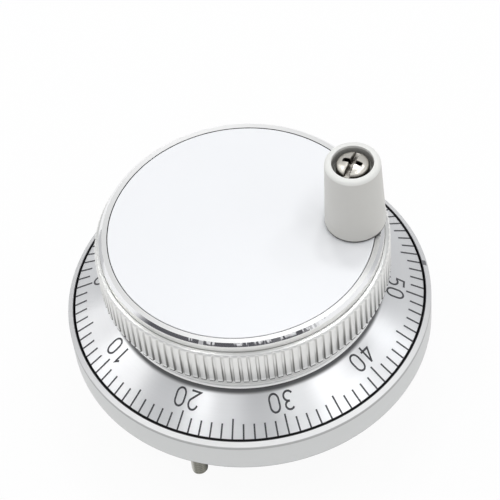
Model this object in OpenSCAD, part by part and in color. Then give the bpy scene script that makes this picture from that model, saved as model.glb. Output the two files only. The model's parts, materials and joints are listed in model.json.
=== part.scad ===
// Panel-mounted pulse generator handwheel. A knurled knob with a revolving grip turns a dial of
// 100 divisions on a shaft in two ball bearings. Behind the panel the shaft carries a slotted disc
// that an emitter and a sensor read, and a toothed wheel that two magnets hold in steps.
// The panel face is z = 0, +Z points out of the panel and +Y points at the index mark.

/* [Flange] */
// Outer diameter of the flange
flange_d = 80; // [78:0.5:86]
// Height of the rim's outer edge above the panel
rim_h = 7.6; // [7.2:0.1:9]
// Wall thickness of the rim
rim_wall = 1.2; // [1:0.05:1.6]
// How far the rim's lip falls towards its outer edge
lip_drop = 0.75; // [0.4:0.05:1]
// Thickness of the flange plate
plate_t = 3.4; // [3:0.1:4]
// Depth of the relief behind the flange, in which the rear case sits
relief_h = 0.3; // [0.2:0.05:0.6]
// How far the relief reaches past the rear case
relief_gap = 1; // [0.9:0.1:1.4]
// Width of the index mark on the lip
index_w = 1.3; // [0.6:0.1:2]
// Radial length of the index mark
index_l = 0.95; // [0.4:0.05:1]

/* [Studs] */
// Thread diameter of the mounting studs
stud_d = 4; // [3:0.5:5]
// Length of a stud behind the panel face
stud_l = 9; // [6:0.1:16]
// How far a stud's root stands out past its thread, in the flange
stud_root = 0.3; // [0.2:0.05:0.5]
// Depth to which a stud sits in the flange
stud_seat = 2.6; // [2:0.1:2.8]
// Distance from the flange's edge to a stud's axis
stud_inset = 4; // [3.6:0.1:5]
// Number of studs
stud_count = 3; // [3:1:4]
// Angle of the first stud's axis from +X
stud_angle = 91.6; // [60:0.1:120]

/* [Dial] */
// Slope of the dial's cone in degrees
dial_slope = 29.6; // [26:0.1:33]
// Running gap between the dial's edge and the rim
dial_gap = 0.45; // [0.3:0.05:0.8]
// Thickness of the dial
dial_t = 1.2; // [1:0.1:1.6]
// Height of the dial's upright edge
dial_edge = 1.4; // [1:0.1:2]
// Number of divisions
divisions = 100; // [50:50:100]
// Division that stands at the index mark
shown_division = 54; // [0:1:99]
// Length of a short line, along the slope
tick_short = 3.2; // [2:0.1:3.6]
// Length of a long line, along the slope
tick_long = 4.3; // [3.6:0.1:4.6]
// Width of a line
tick_w = 0.36; // [0.2:0.02:0.6]
// Height of a numeral, along the slope
digit_h = 4.35; // [3:0.05:4.6]
// Width of a numeral
digit_w = 2.35; // [1.6:0.05:2.8]
// Distance between the centres of two numerals
digit_pitch = 3.1; // [2.9:0.05:4]
// Stroke width of a numeral
digit_stroke = 0.38; // [0.2:0.02:0.5]
// Distance from the dial's edge to the numerals, along the slope
digit_in = 4.8; // [4.7:0.05:5.2]
// Height of the paint in the lines and numerals above the metal
paint_t = 0.04; // [0.02:0.01:0.1]

/* [Knob] */
// Width of the dial's face outside the knob, seen from above
dial_face = 8.05; // [7.4:0.05:10.3]
// Height of the knob above the dial's seat
knob_h = 16.6; // [15:0.1:20]
// Wall thickness of the knob's side
knob_wall = 3; // [2.4:0.1:3.6]
// Thickness of the knob's top wall under the plate
knob_top = 3; // [2.4:0.1:4]
// Width of the flat ring around the plate
bezel_w = 1.15; // [0.8:0.05:1.6]
// Width of the polished bevel around the top
bevel_w = 0.7; // [0.4:0.05:1]
// Height of the polished bevel around the top
bevel_h = 0.6; // [0.4:0.05:1]
// Height of the plain land under the bevel
land_h = 1.65; // [1:0.05:2.2]
// How far the knurled band stands out past the land
knurl_out = 1.2; // [1:0.05:1.6]
// Length of the knurled band
knurl_l = 9.2; // [8:0.05:10.5]
// Number of knurl ridges
knurl_count = 110; // [80:2:120]
// Depth of the knurl
knurl_depth = 0.5; // [0.3:0.05:0.7]
// Share of the knurl's pitch that is ridge
knurl_land = 0.5; // [0.4:0.02:0.7]
// Radius of the knurl's rounded upper end
knurl_round = 0.9; // [0.4:0.05:1]
// How far the neck under the knurl stands back
neck_in = 1.1; // [0.8:0.05:1.4]
// Height of the bead around the knob's foot
bead_h = 1; // [0.8:0.05:1.4]
// How far the bead reaches out over the top of the dial's cone
bead_over = 1.55; // [1.2:0.05:2]
// Diameter of the knob's centre boss
boss_d = 24; // [23:0.5:28]
// Thickness of the white plate
top_plate_t = 1; // [0.8:0.1:1.5]
// Gap around the white plate
top_plate_gap = 0.1; // [0.05:0.01:0.2]

/* [Handle] */
// Distance from the knob's edge to the grip's axis
handle_inset = 6; // [5.6:0.1:8]
// Angle of the grip's axis from +X
handle_angle = 83.5; // [0:0.05:360]
// Height of the grip
grip_h = 18.3; // [14:0.1:24]
// Diameter of the grip at its foot
grip_foot_d = 13; // [12:0.1:14]
// Diameter of the grip at its top
grip_top_d = 11.7; // [11:0.1:12]
// Radius of the grip's rounded top edge
grip_round = 0.9; // [0.4:0.1:1.2]
// Gap between the grip and the knob
grip_gap = 0.2; // [0.1:0.05:0.5]
// Diameter of the recess in the grip's top
recess_d = 8.8; // [8.2:0.1:9]
// Depth of the recess in the grip's top
recess_h = 2.9; // [2.6:0.05:4]
// Outer diameter of the spindle that the grip turns on
spindle_d = 6; // [5.4:0.1:6.6]
// Running clearance of the grip on its spindle, on the radius
grip_run = 0.05; // [0.02:0.01:0.1]
// End play of the grip under its washer
grip_play = 0.15; // [0.1:0.05:0.3]
// Thread diameter of the handle screw
handle_screw_d = 4; // [3:0.5:4]
// Length of the handle screw under its head
handle_screw_l = 25; // [24:0.5:28]
// Diameter of the handle screw's head
handle_head_d = 7; // [6:0.1:7.4]
// Height of the handle screw's head
handle_head_h = 2.6; // [2:0.1:3]
// Width of the slot across the handle screw's head
handle_slot_w = 1.2; // [0.8:0.1:1.4]
// Depth of the slot across the handle screw's head
handle_slot_h = 1.1; // [0.8:0.1:1.4]
// Outer diameter of the handle washer
handle_washer_d = 8; // [7.6:0.1:8.1]
// Thickness of the handle washer
handle_washer_t = 0.5; // [0.4:0.1:0.8]

/* [Shaft and bearings] */
// Diameter of the shaft in the bearings
shaft_d = 10; // [9.6:0.1:10.4]
// Diameter of the shaft under the slotted disc
tail_d = 8; // [7:0.1:8.4]
// Diameter of the shaft's flange
shaft_flange_d = 22; // [21.5:0.5:25]
// Thickness of the shaft's flange
shaft_flange_t = 2.2; // [2:0.1:3]
// Height of the shaft's nose above the dial's seat
nose_h = 3; // [2:0.1:5]
// Height of the collar that bears on the upper bearing
collar_h = 0.7; // [0.5:0.1:1.5]
// Outer diameter of a bearing
bearing_d = 19; // [18.4:0.2:20]
// Width of a bearing
bearing_w = 5; // [4.6:0.1:5.4]
// Distance between the two bearings
bearing_space = 2; // [1.6:0.1:4]
// Diameter of a bearing ball
ball_d = 2.38; // [2:0.02:2.6]
// Number of balls in a bearing
ball_count = 11; // [7:1:12]
// Clearance of a ball in its race
ball_run = 0.03; // [0.01:0.01:0.06]
// Wall thickness of the bearing tower
tower_wall = 3; // [2:0.1:4]
// Thickness of the retaining ring
ring_t = 1; // [0.8:0.1:1.2]
// Outer diameter of the retaining ring
ring_d = 15; // [14:0.2:16]
// Depth of the retaining ring's groove
ring_groove = 0.4; // [0.2:0.05:0.6]
// Length of the shaft between the retaining ring and the disc's hub
ring_land = 0.8; // [0.6:0.1:1.2]
// Thread diameter of the hub screws
hub_screw_d = 3; // [2.5:0.5:3]
// Radius of the circle of hub screws
hub_screw_r = 8; // [7.6:0.1:8.4]
// Clearance of pieces that slip into each other, on the radius
slip = 0.02; // [0.01:0.01:0.05]

/* [Detent] */
// Outer diameter of the toothed wheel
wheel_d = 40; // [34:0.5:42]
// Thickness of the toothed wheel
wheel_t = 1.6; // [1.2:0.1:2.4]
// Depth of the wheel's teeth
tooth_depth = 0.5; // [0.3:0.05:0.6]
// Air gap between the wheel and a yoke
air_gap = 0.4; // [0.3:0.05:0.8]
// Width of a yoke across the wheel
yoke_w = 6; // [5:0.5:8]
// Depth of a yoke along the radius
yoke_t = 4; // [3:0.1:5]
// Thickness of a magnet
magnet_h = 3; // [2:0.1:4]

/* [Encoder] */
// Diameter of the slotted disc
disc_d = 40; // [38:0.5:42]
// Thickness of the slotted disc
disc_t = 0.3; // [0.2:0.05:0.5]
// Distance from the disc's edge to the middle of the slots
track_in = 3; // [2.6:0.1:3.6]
// Length of a slot
slot_l = 2.4; // [1.6:0.1:3]
// Width of a slot
slot_w = 0.5; // [0.3:0.05:0.6]
// Diameter of the disc's hub
hub_d = 14; // [13:0.5:20]
// Height of the disc's hub
hub_h = 1.8; // [1.7:0.1:3]
// Thickness of the disc's retainer
retainer_t = 0.8; // [0.5:0.1:1]
// Thread diameter of the set screw in the hub
set_screw_d = 1.2; // [1:0.1:1.4]
// Gap between the disc and the sensor
sensor_gap = 0.4; // [0.3:0.05:1]
// Height of the sensor
sensor_h = 1.1; // [1:0.05:1.5]
// Length of the sensor along the radius
sensor_l = 7; // [5:0.5:8]
// Width of the sensor
sensor_w = 5; // [4:0.5:6]
// Angle of the emitter and the sensor from +X
optic_angle = 200; // [195:1:205]
// Diameter of the emitter
emitter_d = 3; // [2:0.1:3.4]
// Thickness of an emitter lead
lead_t = 0.5; // [0.4:0.05:0.6]
// Distance between the emitter's leads
lead_pitch = 1.6; // [1.4:0.1:2]
// How far the emitter's holder reaches past the emitter's axis
holder_out = 3; // [2.2:0.1:3.4]
// Width of the emitter's holder
holder_w = 7; // [6:0.5:9]

/* [Circuit board] */
// Thickness of the circuit board
board_t = 1.6; // [1:0.1:2]
// Gap between the circuit board and the case's wall
board_gap = 0.5; // [0.3:0.1:0.8]
// Height of the pads that the board stands on
pad_h = 0.9; // [0.8:0.1:2]
// Diameter of the pads that the board stands on
pad_d = 4.4; // [4:0.1:5]
// Radius of the circle of board screws
board_screw_r = 23.4; // [23:0.1:24]
// Thread diameter of the board screws
board_screw_d = 2; // [1.6:0.1:2]
// Height of a chip
chip_h = 1.1; // [0.8:0.1:1.3]
// Width of a chip without its legs
chip_w = 3.9; // [3:0.1:4.2]
// Length of the main chip
main_chip_l = 10; // [8:0.1:11]
// Length of the small chip
small_chip_l = 4.9; // [4:0.1:5.2]
// Distance between two legs of a chip
chip_pitch = 1.27; // [1:0.01:1.3]
// Height of a small board part
passive_h = 0.6; // [0.4:0.1:0.9]
// Length of a small board part
passive_l = 2; // [1.4:0.1:2.2]
// Width of a small board part
passive_w = 1.2; // [0.8:0.1:1.4]
// Distance between two small board parts
passive_pitch = 2.6; // [2.2:0.1:3]
// Distance from the board's middle to the main chip's row
main_row = 9; // [8:0.5:10]
// Distance from the board's middle to the row at its edge
edge_row = 15.5; // [15:0.5:17]
// Distance from the board's middle to the row behind the terminals
rear_row = 11; // [10:0.5:14]

/* [Rear case] */
// Outer diameter of the rear case
case_d = 60; // [59:0.5:62]
// Wall thickness of the rear case
case_wall = 1.55; // [1.4:0.05:2]
// Diameter of the pillars for the case screws
pillar_d = 6; // [5.6:0.1:6.6]
// Thread diameter of the case screws
case_screw_d = 2.5; // [2:0.5:3]
// Length of a case screw in the flange
case_screw_in = 2.4; // [2:0.1:2.8]
// Depth of the pocket for a case screw's head
case_head_h = 1.8; // [1.5:0.1:3]

/* [Terminals] */
// Number of terminals
terminals = 6; // [4:1:6]
// Distance between two terminals
terminal_pitch = 7; // [6.6:0.1:7.2]
// Thickness of a barrier between terminals
barrier_t = 1.2; // [1:0.1:1.5]
// Height of a barrier above the block's base
barrier_h = 5.2; // [5:0.1:7]
// Thickness of the block's base
base_t = 2.2; // [1.8:0.1:3]
// Width of the block
block_w = 12; // [11.8:0.1:14]
// Length of a fixing ear of the block
ear_l = 5; // [4.6:0.1:5.4]
// Thickness of a terminal plate
terminal_t = 0.8; // [0.6:0.1:1]
// Thickness of a terminal leg
leg_t = 0.8; // [0.6:0.1:1]
// Distance from the block's middle to the terminal legs
leg_y = 4.8; // [4.7:0.1:5]
// Thickness of a terminal washer
terminal_washer_t = 0.7; // [0.5:0.1:0.8]
// Width of a terminal washer along the bay
terminal_washer_w = 5.6; // [5:0.1:6]
// Gap between a terminal plate and the barriers beside it
terminal_gap = 0.2; // [0.1:0.05:0.3]
// How far a terminal plate runs past its screw
terminal_past = 4; // [3.4:0.1:5]
// Thread diameter of the terminal screws
terminal_screw_d = 3; // [2.5:0.5:3]
// Height of a terminal screw's head
terminal_head_h = 1.9; // [1.5:0.1:2.2]
// Thread diameter of the screws in the block's ears
ear_screw_d = 2; // [1.6:0.1:2.5]

/* [Hidden] */
$fn = 96;
eps = 0.01;                                     // how far a cut runs past the face it opens
edge = 0.2;                                     // bevel on the flange's lower edge
weld = 0.2;                                     // how far a pillar runs into the case's wall
shoulder = 1;                                   // width of the shoulders inside the bearing tower
shaft_bevel = 0.3;                              // bevel on the shaft's ends
grip_bevel = 0.25;                              // bevel on the grip's foot
tip_space = 1;                                  // metal left under the tip of the handle screw
screw_sink = 0.3;                               // how far a case screw's head lies inside its pocket
pocket_gap = 0.2;                               // gap around a screw's head in its pocket
knurl_slant = 0.25;                             // share of a knurl groove that each wall takes
knurl_turn = 1.3;                               // angle of the first ridge from +X
slot_turn = 63.5;                               // from the handle's radius to the handle screw's slot
head_ratio = 1.9;                               // a small screw's head against its thread
clear = 0.3;                                    // gap between pieces that must not touch
stud_tip = 0.5;                                 // bevel on a stud's end

// radii
flange_r = flange_d / 2;
rim_in_r = flange_r - rim_wall;
dial_r = rim_in_r - dial_gap;
knob_r = dial_r - dial_face;
knurl_r = knob_r + knurl_out;
neck_r = knob_r - neck_in;
bead_r = neck_r + bead_h / 2;
cone_in_r = bead_r - bead_over;
cavity_r = knob_r - knob_wall;
bezel_out_r = knob_r - bevel_w;
top_plate_r = bezel_out_r - bezel_w;
shaft_r = shaft_d / 2;
bearing_r = bearing_d / 2;
race_r = (shaft_r + bearing_r) / 2;
inner_land_r = race_r - ball_d * 0.42;
outer_land_r = race_r + ball_d * 0.42;
tower_r = bearing_r + tower_wall;
wheel_r = wheel_d / 2;
disc_r = disc_d / 2;
track_r = disc_r - track_in;
case_r = case_d / 2;
case_in_r = case_r - case_wall;
relief_r = case_r + relief_gap;
stud_root_d = stud_d + 2 * stud_root;
stud_pcd = flange_d - 2 * stud_inset;
handle_r = knob_r - handle_inset;

// heights, from the dial's edge up to the grip
dial_z = rim_h + lip_drop;
seat_z = dial_z + (dial_r - cone_in_r) * tan(dial_slope);
knob_z = seat_z + knob_h;
floor_z = knob_z - top_plate_t;
roof_z = floor_z - knob_top;
knurl_top_z = knob_z - bevel_h - land_h;
knurl_z = knurl_top_z - knurl_l;
grip_z = knob_z + grip_gap;
grip_top_z = grip_z + grip_h;
recess_z = grip_top_z - recess_h;
spindle_top_z = recess_z + grip_play;
handle_head_z = spindle_top_z + handle_washer_t;

// heights, from the dial's seat down to the terminals
wheel_top_z = seat_z - dial_t;
wheel_z = wheel_top_z - wheel_t;
shaft_flange_z = wheel_z - shaft_flange_t;
tower_z = shaft_flange_z - collar_h;
bearing_zs = [tower_z - bearing_w, tower_z - 2 * bearing_w - bearing_space];
ring_z = bearing_zs[1] - ring_t;
hub_top_z = ring_z - ring_land;
disc_top_z = hub_top_z - hub_h;
disc_z = disc_top_z - disc_t;
retainer_z = disc_z - retainer_t;
tail_z = retainer_z - clear;
board_top_z = disc_z - sensor_gap - sensor_h;
board_z = board_top_z - board_t;
case_in_z = board_z - pad_h;
case_z = case_in_z - case_wall;
base_z = case_z - base_t;
terminal_z = base_z - terminal_t;
terminal_washer_z = terminal_z - terminal_washer_t;

// places
stud_angles = [for (i = [0 : stud_count - 1]) stud_angle + i * 360 / stud_count];
pillar_angles = [30, 150, 270];
pillar_r = case_in_r - pillar_d / 2 + weld;
board_screw_angles = [90, 210, 330];
hub_screw_angles = [30, 150, 270];
yoke_angles = [0, 180];
yoke_r = wheel_r + air_gap;
yoke_z = plate_t + magnet_h;
magnet_d = yoke_t - 2 * pocket_gap;
hub_head_h = 2;
hub_head_d = 5.5;
hub_pocket = 3;
hub_head_z = floor_z - hub_pocket;
hub_screw_l = hub_head_z - shaft_flange_z - edge;
case_head_z = case_z + case_head_h;
case_head_d = case_screw_d * 1.8;
cage_t = 0.35;
cage_w = 0.7;
finger_w = 0.6;
ring_slot = 1.8;
shield_t = 0.25;
lead_out = 2;
lead_r = disc_r + lead_out;
lead_z = relief_h - lead_t - clear;
emitter_z = disc_top_z + clear;
lens_out = 0.6;
holder_z = emitter_z + lens_out;
board_r = case_in_r - board_gap;
board_hole_r = 4;
pad_hole_r = board_screw_d / 2 + slip;
block_l = terminals * terminal_pitch + barrier_t;
bay_w = terminal_pitch - barrier_t;
ear_x = block_l / 2 + ear_l / 2;
terminal_xs = [for (i = [0 : terminals - 1]) (i - (terminals - 1) / 2) * terminal_pitch];
leg_w = 1;
barrier_z = base_z - barrier_h;
terminal_screw_l = terminal_washer_t + terminal_t + base_t + case_wall;

module at_polar(r, angles) {
    for (a = angles)
        rotate([0, 0, a])
            translate([r, 0, 0])
                children();
}

module tube(r_in, r_out, h) {
    difference() {
        cylinder(r = r_out, h = h);
        translate([0, 0, -eps])
            cylinder(r = r_in, h = h + 2 * eps);
    }
}

// a box given by its middle in X and Y and its foot
module slab(l, w, h) {
    translate([-l / 2, -w / 2, 0])
        cube([l, w, h]);
}

// height of the dial's cone at a radius
function cone_z(r) = dial_z + (dial_r - r) * tan(dial_slope);

// ---- housing ----

// the lip is a shallow arc from the rim's inner corner to its outer edge
function lip_z(t) = dial_z - lip_drop * (0.8 * t + 0.2 * t * t);

module flange_housing() {
    color("silver") {
        difference() {
            rotate_extrude()
                polygon(concat(
                    [[tower_r - shoulder, relief_h], [tower_r - shoulder, plate_t], [rim_in_r, plate_t]],
                    [for (i = [0 : 6]) [rim_in_r + rim_wall * i / 6, lip_z(i / 6)]],
                    [[flange_r, edge], [flange_r - edge, 0], [relief_r, 0], [relief_r, relief_h]]
                ));
            at_polar(stud_pcd / 2, stud_angles)
                translate([0, 0, -eps])
                    cylinder(d = stud_root_d + 2 * slip, h = stud_seat + eps);
            at_polar(pillar_r, pillar_angles)
                translate([0, 0, -eps])
                    cylinder(d = case_screw_d + 2 * slip, h = case_screw_in + clear + eps);
        }
        difference() {
            translate([0, 0, bearing_zs[1]])
                cylinder(r = tower_r, h = tower_z - bearing_zs[1]);
            translate([0, 0, bearing_zs[1] - eps])
                cylinder(r = bearing_r - shoulder, h = tower_z - bearing_zs[1] + 2 * eps);
            for (z = [bearing_zs[0], bearing_zs[1] - eps])
                translate([0, 0, z])
                    cylinder(r = bearing_r + slip, h = bearing_w + eps);
        }
    }
}

module index_mark() {
    color("dimgray")
        intersection() {
            translate([-index_w / 2, rim_in_r, 0])
                cube([index_w, index_l, dial_z + 1]);
            rotate_extrude()
                polygon(concat(
                    [for (i = [0 : 6]) [rim_in_r + rim_wall * i / 6, lip_z(i / 6)]],
                    [for (i = [6 : -1 : 0]) [rim_in_r + rim_wall * i / 6, lip_z(i / 6) + paint_t]]
                ));
        }
}

module mounting_studs() {
    color("gainsboro")
        at_polar(stud_pcd / 2, stud_angles) {
            cylinder(d = stud_root_d, h = stud_seat);
            translate([0, 0, stud_tip - stud_l])
                cylinder(d = stud_d, h = stud_l - stud_tip + eps);
            translate([0, 0, -stud_l])
                cylinder(d1 = stud_d - 2 * stud_tip, d2 = stud_d, h = stud_tip);
        }
}

// ---- bearings ----

module race(r_in, r_out) {
    for (z = bearing_zs)
        translate([0, 0, z])
            rotate_extrude()
                difference() {
                    translate([r_in, 0])
                        square([r_out - r_in, bearing_w]);
                    translate([race_r, bearing_w / 2])
                        circle(d = ball_d + 2 * ball_run, $fn = 48);
                }
}

module bearing_outer_rings() {
    color("lightsteelblue")
        race(outer_land_r, bearing_r);
}

module bearing_inner_rings() {
    color("lightsteelblue")
        race(shaft_r + slip, inner_land_r);
}

module bearing_balls() {
    color("white")
        for (z = bearing_zs, i = [0 : ball_count - 1])
            rotate([0, 0, i * 360 / ball_count])
                translate([race_r, 0, z + bearing_w / 2])
                    sphere(d = ball_d, $fn = 32);
}

module bearing_cages() {
    color("goldenrod")
        for (z = bearing_zs)
            translate([0, 0, z + (bearing_w + ball_d) / 2 + ball_run])
                union() {
                    tube(race_r - cage_w / 2, race_r + cage_w / 2, cage_t);
                    for (i = [0 : ball_count - 1])
                        rotate([0, 0, (i + 0.5) * 360 / ball_count])
                            translate([race_r - finger_w / 2, -finger_w / 2, -(ball_d + finger_w) / 2])
                                cube([finger_w, finger_w, (ball_d + finger_w) / 2 + eps]);
                }
}

module bearing_shields() {
    color("gray")
        for (z = bearing_zs, up = [0, bearing_w - shield_t])
            translate([0, 0, z + up])
                tube(inner_land_r + 4 * ball_run, outer_land_r, shield_t);
}

module bearing_spacer() {
    color("silver")
        translate([0, 0, bearing_zs[1] + bearing_w])
            tube(shaft_r + slip, inner_land_r, bearing_space);
}

module retaining_ring() {
    color("dimgray")
        difference() {
            translate([0, 0, ring_z])
                tube(shaft_r - ring_groove + slip, ring_d / 2, ring_t);
            translate([0, 0, ring_z - eps])
                rotate([0, 0, 25])
                    translate([shaft_r / 4, -ring_slot / 2, 0])
                        cube([ring_d, ring_slot, ring_t + 2 * eps]);
        }
}

// ---- shaft ----

module shaft() {
    color("lightgray")
        difference() {
            rotate_extrude()
                polygon([
                    [0, tail_z], [tail_d / 2 - shaft_bevel, tail_z], [tail_d / 2, tail_z + shaft_bevel],
                    [tail_d / 2, hub_top_z], [shaft_r, hub_top_z], [shaft_r, ring_z],
                    [shaft_r - ring_groove, ring_z], [shaft_r - ring_groove, bearing_zs[1]],
                    [shaft_r, bearing_zs[1]], [shaft_r, tower_z], [inner_land_r, tower_z],
                    [inner_land_r, shaft_flange_z], [shaft_flange_d / 2, shaft_flange_z],
                    [shaft_flange_d / 2, wheel_z], [shaft_r, wheel_z],
                    [shaft_r, seat_z + nose_h - shaft_bevel], [shaft_r - shaft_bevel, seat_z + nose_h],
                    [0, seat_z + nose_h]
                ]);
            at_polar(hub_screw_r, hub_screw_angles)
                translate([0, 0, shaft_flange_z - eps])
                    cylinder(d = hub_screw_d + 2 * slip, h = shaft_flange_t + 2 * eps);
        }
}

module hub_screws() {
    color("gainsboro")
        at_polar(hub_screw_r, hub_screw_angles)
            translate([0, 0, hub_head_z])
                difference() {
                    union() {
                        cylinder(d = hub_head_d, h = hub_head_h);
                        translate([0, 0, -hub_screw_l])
                            cylinder(d = hub_screw_d, h = hub_screw_l + eps);
                    }
                    translate([0, 0, hub_head_h * 0.4])
                        cylinder(d = hub_screw_d, h = hub_head_h * 0.6 + eps, $fn = 6);
                }
}

// ---- dial ----

module dial_ring() {
    color("lightgray")
        difference() {
            rotate_extrude()
                polygon([
                    [shaft_r + slip, seat_z], [cone_in_r, seat_z], [dial_r, dial_z],
                    [dial_r, dial_z - dial_edge], [dial_r - dial_t, dial_z - dial_edge],
                    [cone_in_r - dial_t * tan(dial_slope / 2), wheel_top_z],
                    [shaft_r + slip, wheel_top_z]
                ]);
            at_polar(hub_screw_r, hub_screw_angles)
                translate([0, 0, wheel_top_z - eps])
                    cylinder(d = hub_screw_d + 2 * slip, h = dial_t + 2 * eps);
        }
}

// a thin layer on the cone, from the dial's edge inwards by a length along the slope
module paint_layer(l) {
    r_in = dial_r - l * cos(dial_slope);
    lift = paint_t / cos(dial_slope);
    rotate_extrude()
        polygon([
            [dial_r, dial_z], [dial_r, dial_z + lift],
            [r_in, cone_z(r_in) + lift], [r_in, cone_z(r_in)]
        ]);
}

function division_angle(k) = 90 + (k - shown_division) * 360 / divisions;

module dial_ticks() {
    color("dimgray")
        intersection() {
            for (k = [0 : divisions - 1]) {
                l = (k % 5 == 0 ? tick_long : tick_short) * cos(dial_slope);
                rotate([0, 0, division_angle(k)])
                    translate([dial_r - l, -tick_w / 2, dial_z - 1])
                        cube([l + 1, tick_w, seat_z - dial_z + 2]);
            }
            paint_layer(tick_long + 1);
        }
}

// Numerals are strokes of one width along a line of points, drawn in plan and cut from the layer on
// the cone. The half-width and the height of that line are half_w and line_h, with its foot at 0.
half_w = (digit_w - digit_stroke) / 2;
line_h = (digit_h - digit_stroke) * cos(dial_slope);
arc_steps = 12;

function arc(x, y, rx, ry, from, to) = [
    for (i = [0 : arc_steps])
        [x + rx * cos(from + (to - from) * i / arc_steps),
         y + ry * sin(from + (to - from) * i / arc_steps)]
];
function oval(y, rx, ry, side) = concat(
    arc(0, y + side / 2, rx, ry - side / 2, 0, 180),
    arc(0, y - side / 2, rx, ry - side / 2, 180, 360)
);

function unit(v) = v / norm(v);
function left_of(v) = [-v[1], v[0]];

// the sideways step at a point of an open line, longer at a corner so that the width holds
function side_step(p, i) =
    let (n = len(p) - 1,
         a = unit(p[min(i + 1, n)] - p[min(i, n - 1)]),
         b = unit(p[max(i, 1)] - p[max(i - 1, 0)]),
         m = unit(left_of(a) + left_of(b)))
    m / max(0.4, m * left_of(a));

module stroke(p) {
    half = digit_stroke / 2;
    n = len(p) - 1;
    polygon(concat(
        [for (i = [0 : n]) p[i] + half * side_step(p, i)],
        [for (i = [n : -1 : 0]) p[i] - half * side_step(p, i)]
    ));
}

// a closed oval stroke about x = 0
module ring_stroke(y, rx, ry, side) {
    half = digit_stroke / 2;
    difference() {
        polygon(oval(y, rx + half, ry + half, side));
        polygon(oval(y, rx - half, ry - half, side));
    }
}

module six() {
    bowl = line_h * 0.3;
    ring_stroke(bowl, half_w, bowl, 0);
    stroke(arc(half_w, bowl, half_w * 2, line_h - bowl, 100, 180));
}

module digit(n) {
    w = half_w;
    h = line_h;
    translate([0, digit_stroke / 2]) {
        if (n == 0)
            ring_stroke(h / 2, w, h / 2, h * 0.34);
        if (n == 1)
            stroke([[-w * 0.5, h * 0.8], [w * 0.15, h], [w * 0.15, 0]]);
        if (n == 2)
            stroke(concat(arc(0, h - w * 1.1, w, w * 1.1, 175, -35), [[-w, 0], [w, 0]]));
        if (n == 3) {
            stroke(arc(0, h * 0.77, w * 0.9, h * 0.23, 150, -100));
            stroke(arc(0, h * 0.27, w, h * 0.27, 100, -150));
        }
        if (n == 4) {
            stroke([[w * 0.45, 0], [w * 0.45, h]]);
            stroke([[w * 0.45, h], [-w, h * 0.28], [w, h * 0.28]]);
        }
        if (n == 5)
            stroke(concat(
                [[w * 0.85, h], [-w * 0.75, h], [-w * 0.9, h * 0.56]],
                arc(0, h * 0.31, w, h * 0.31, 125, -150)
            ));
        if (n == 6)
            six();
        if (n == 7)
            stroke([[-w, h], [w, h], [-w * 0.3, 0]]);
        if (n == 8) {
            ring_stroke(h * 0.77, w * 0.85, h * 0.23, 0);
            ring_stroke(h * 0.27, w, h * 0.27, 0);
        }
        if (n == 9)
            translate([0, h])
                rotate([0, 0, 180])
                    six();
    }
}

// the numerals' foot is towards the knob and their tops point outwards
module dial_numerals() {
    foot_r = dial_r - (digit_in + digit_h) * cos(dial_slope);
    color("dimgray")
        intersection() {
            for (k = [0 : 10 : divisions - 1])
                rotate([0, 0, division_angle(k) - 90])
                    translate([0, foot_r, dial_z - 1])
                        linear_extrude(seat_z - dial_z + 2)
                            if (k == 0)
                                digit(0);
                            else {
                                translate([-digit_pitch / 2, 0])
                                    digit(k / 10);
                                translate([digit_pitch / 2, 0])
                                    digit(0);
                            }
            paint_layer(digit_in + digit_h + 1);
        }
}

// ---- knob ----

knurl_pitch = 360 / knurl_count;

function knurl_point(r, share, i) =
    let (a = knurl_turn + (i + share) * knurl_pitch)
    [r * cos(a), r * sin(a)];

module knurl_outline() {
    half = knurl_land / 2;
    foot = half + (1 - knurl_land) * knurl_slant;
    polygon([
        for (i = [0 : knurl_count - 1])
            for (p = [[knurl_r, -half], [knurl_r, half],
                      [knurl_r - knurl_depth, foot], [knurl_r - knurl_depth, 1 - foot]])
                knurl_point(p[0], p[1], i)
    ]);
}

// the knob's outside above the knurl and under it, as rings round the cavity
module knob_rings() {
    rotate_extrude()
        polygon([
            [cavity_r, knurl_top_z], [knob_r, knurl_top_z], [knob_r, knob_z - bevel_h],
            [bezel_out_r, knob_z], [top_plate_r, knob_z], [top_plate_r, floor_z], [cavity_r, floor_z]
        ]);
    rotate_extrude()
        polygon(concat(
            [[cavity_r, knurl_z], [cavity_r, seat_z]],
            [for (i = [0 : 8])
                [neck_r + bead_h / 2 * cos(-90 + i * 22.5),
                 seat_z + bead_h / 2 + bead_h / 2 * sin(-90 + i * 22.5)]],
            [[neck_r, knurl_z]]
        ));
}

// the ridges, rounded off at their upper ends
module knurl_band() {
    intersection() {
        translate([0, 0, knurl_z])
            linear_extrude(knurl_l)
                difference() {
                    knurl_outline();
                    circle(r = cavity_r);
                }
        rotate_extrude()
            polygon(concat(
                [[0, knurl_top_z], [0, knurl_z], [knurl_r, knurl_z]],
                [for (i = [0 : 4])
                    [knurl_r - knurl_round * (1 - cos(i * 22.5)),
                     knurl_top_z - knurl_round * (1 - sin(i * 22.5))]]
            ));
    }
}

module handle_place() {
    rotate([0, 0, handle_angle])
        translate([handle_r, 0, 0])
            children();
}

handle_tip_z = handle_head_z - handle_screw_l;
handle_boss_d = handle_screw_d * 2;

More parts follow.
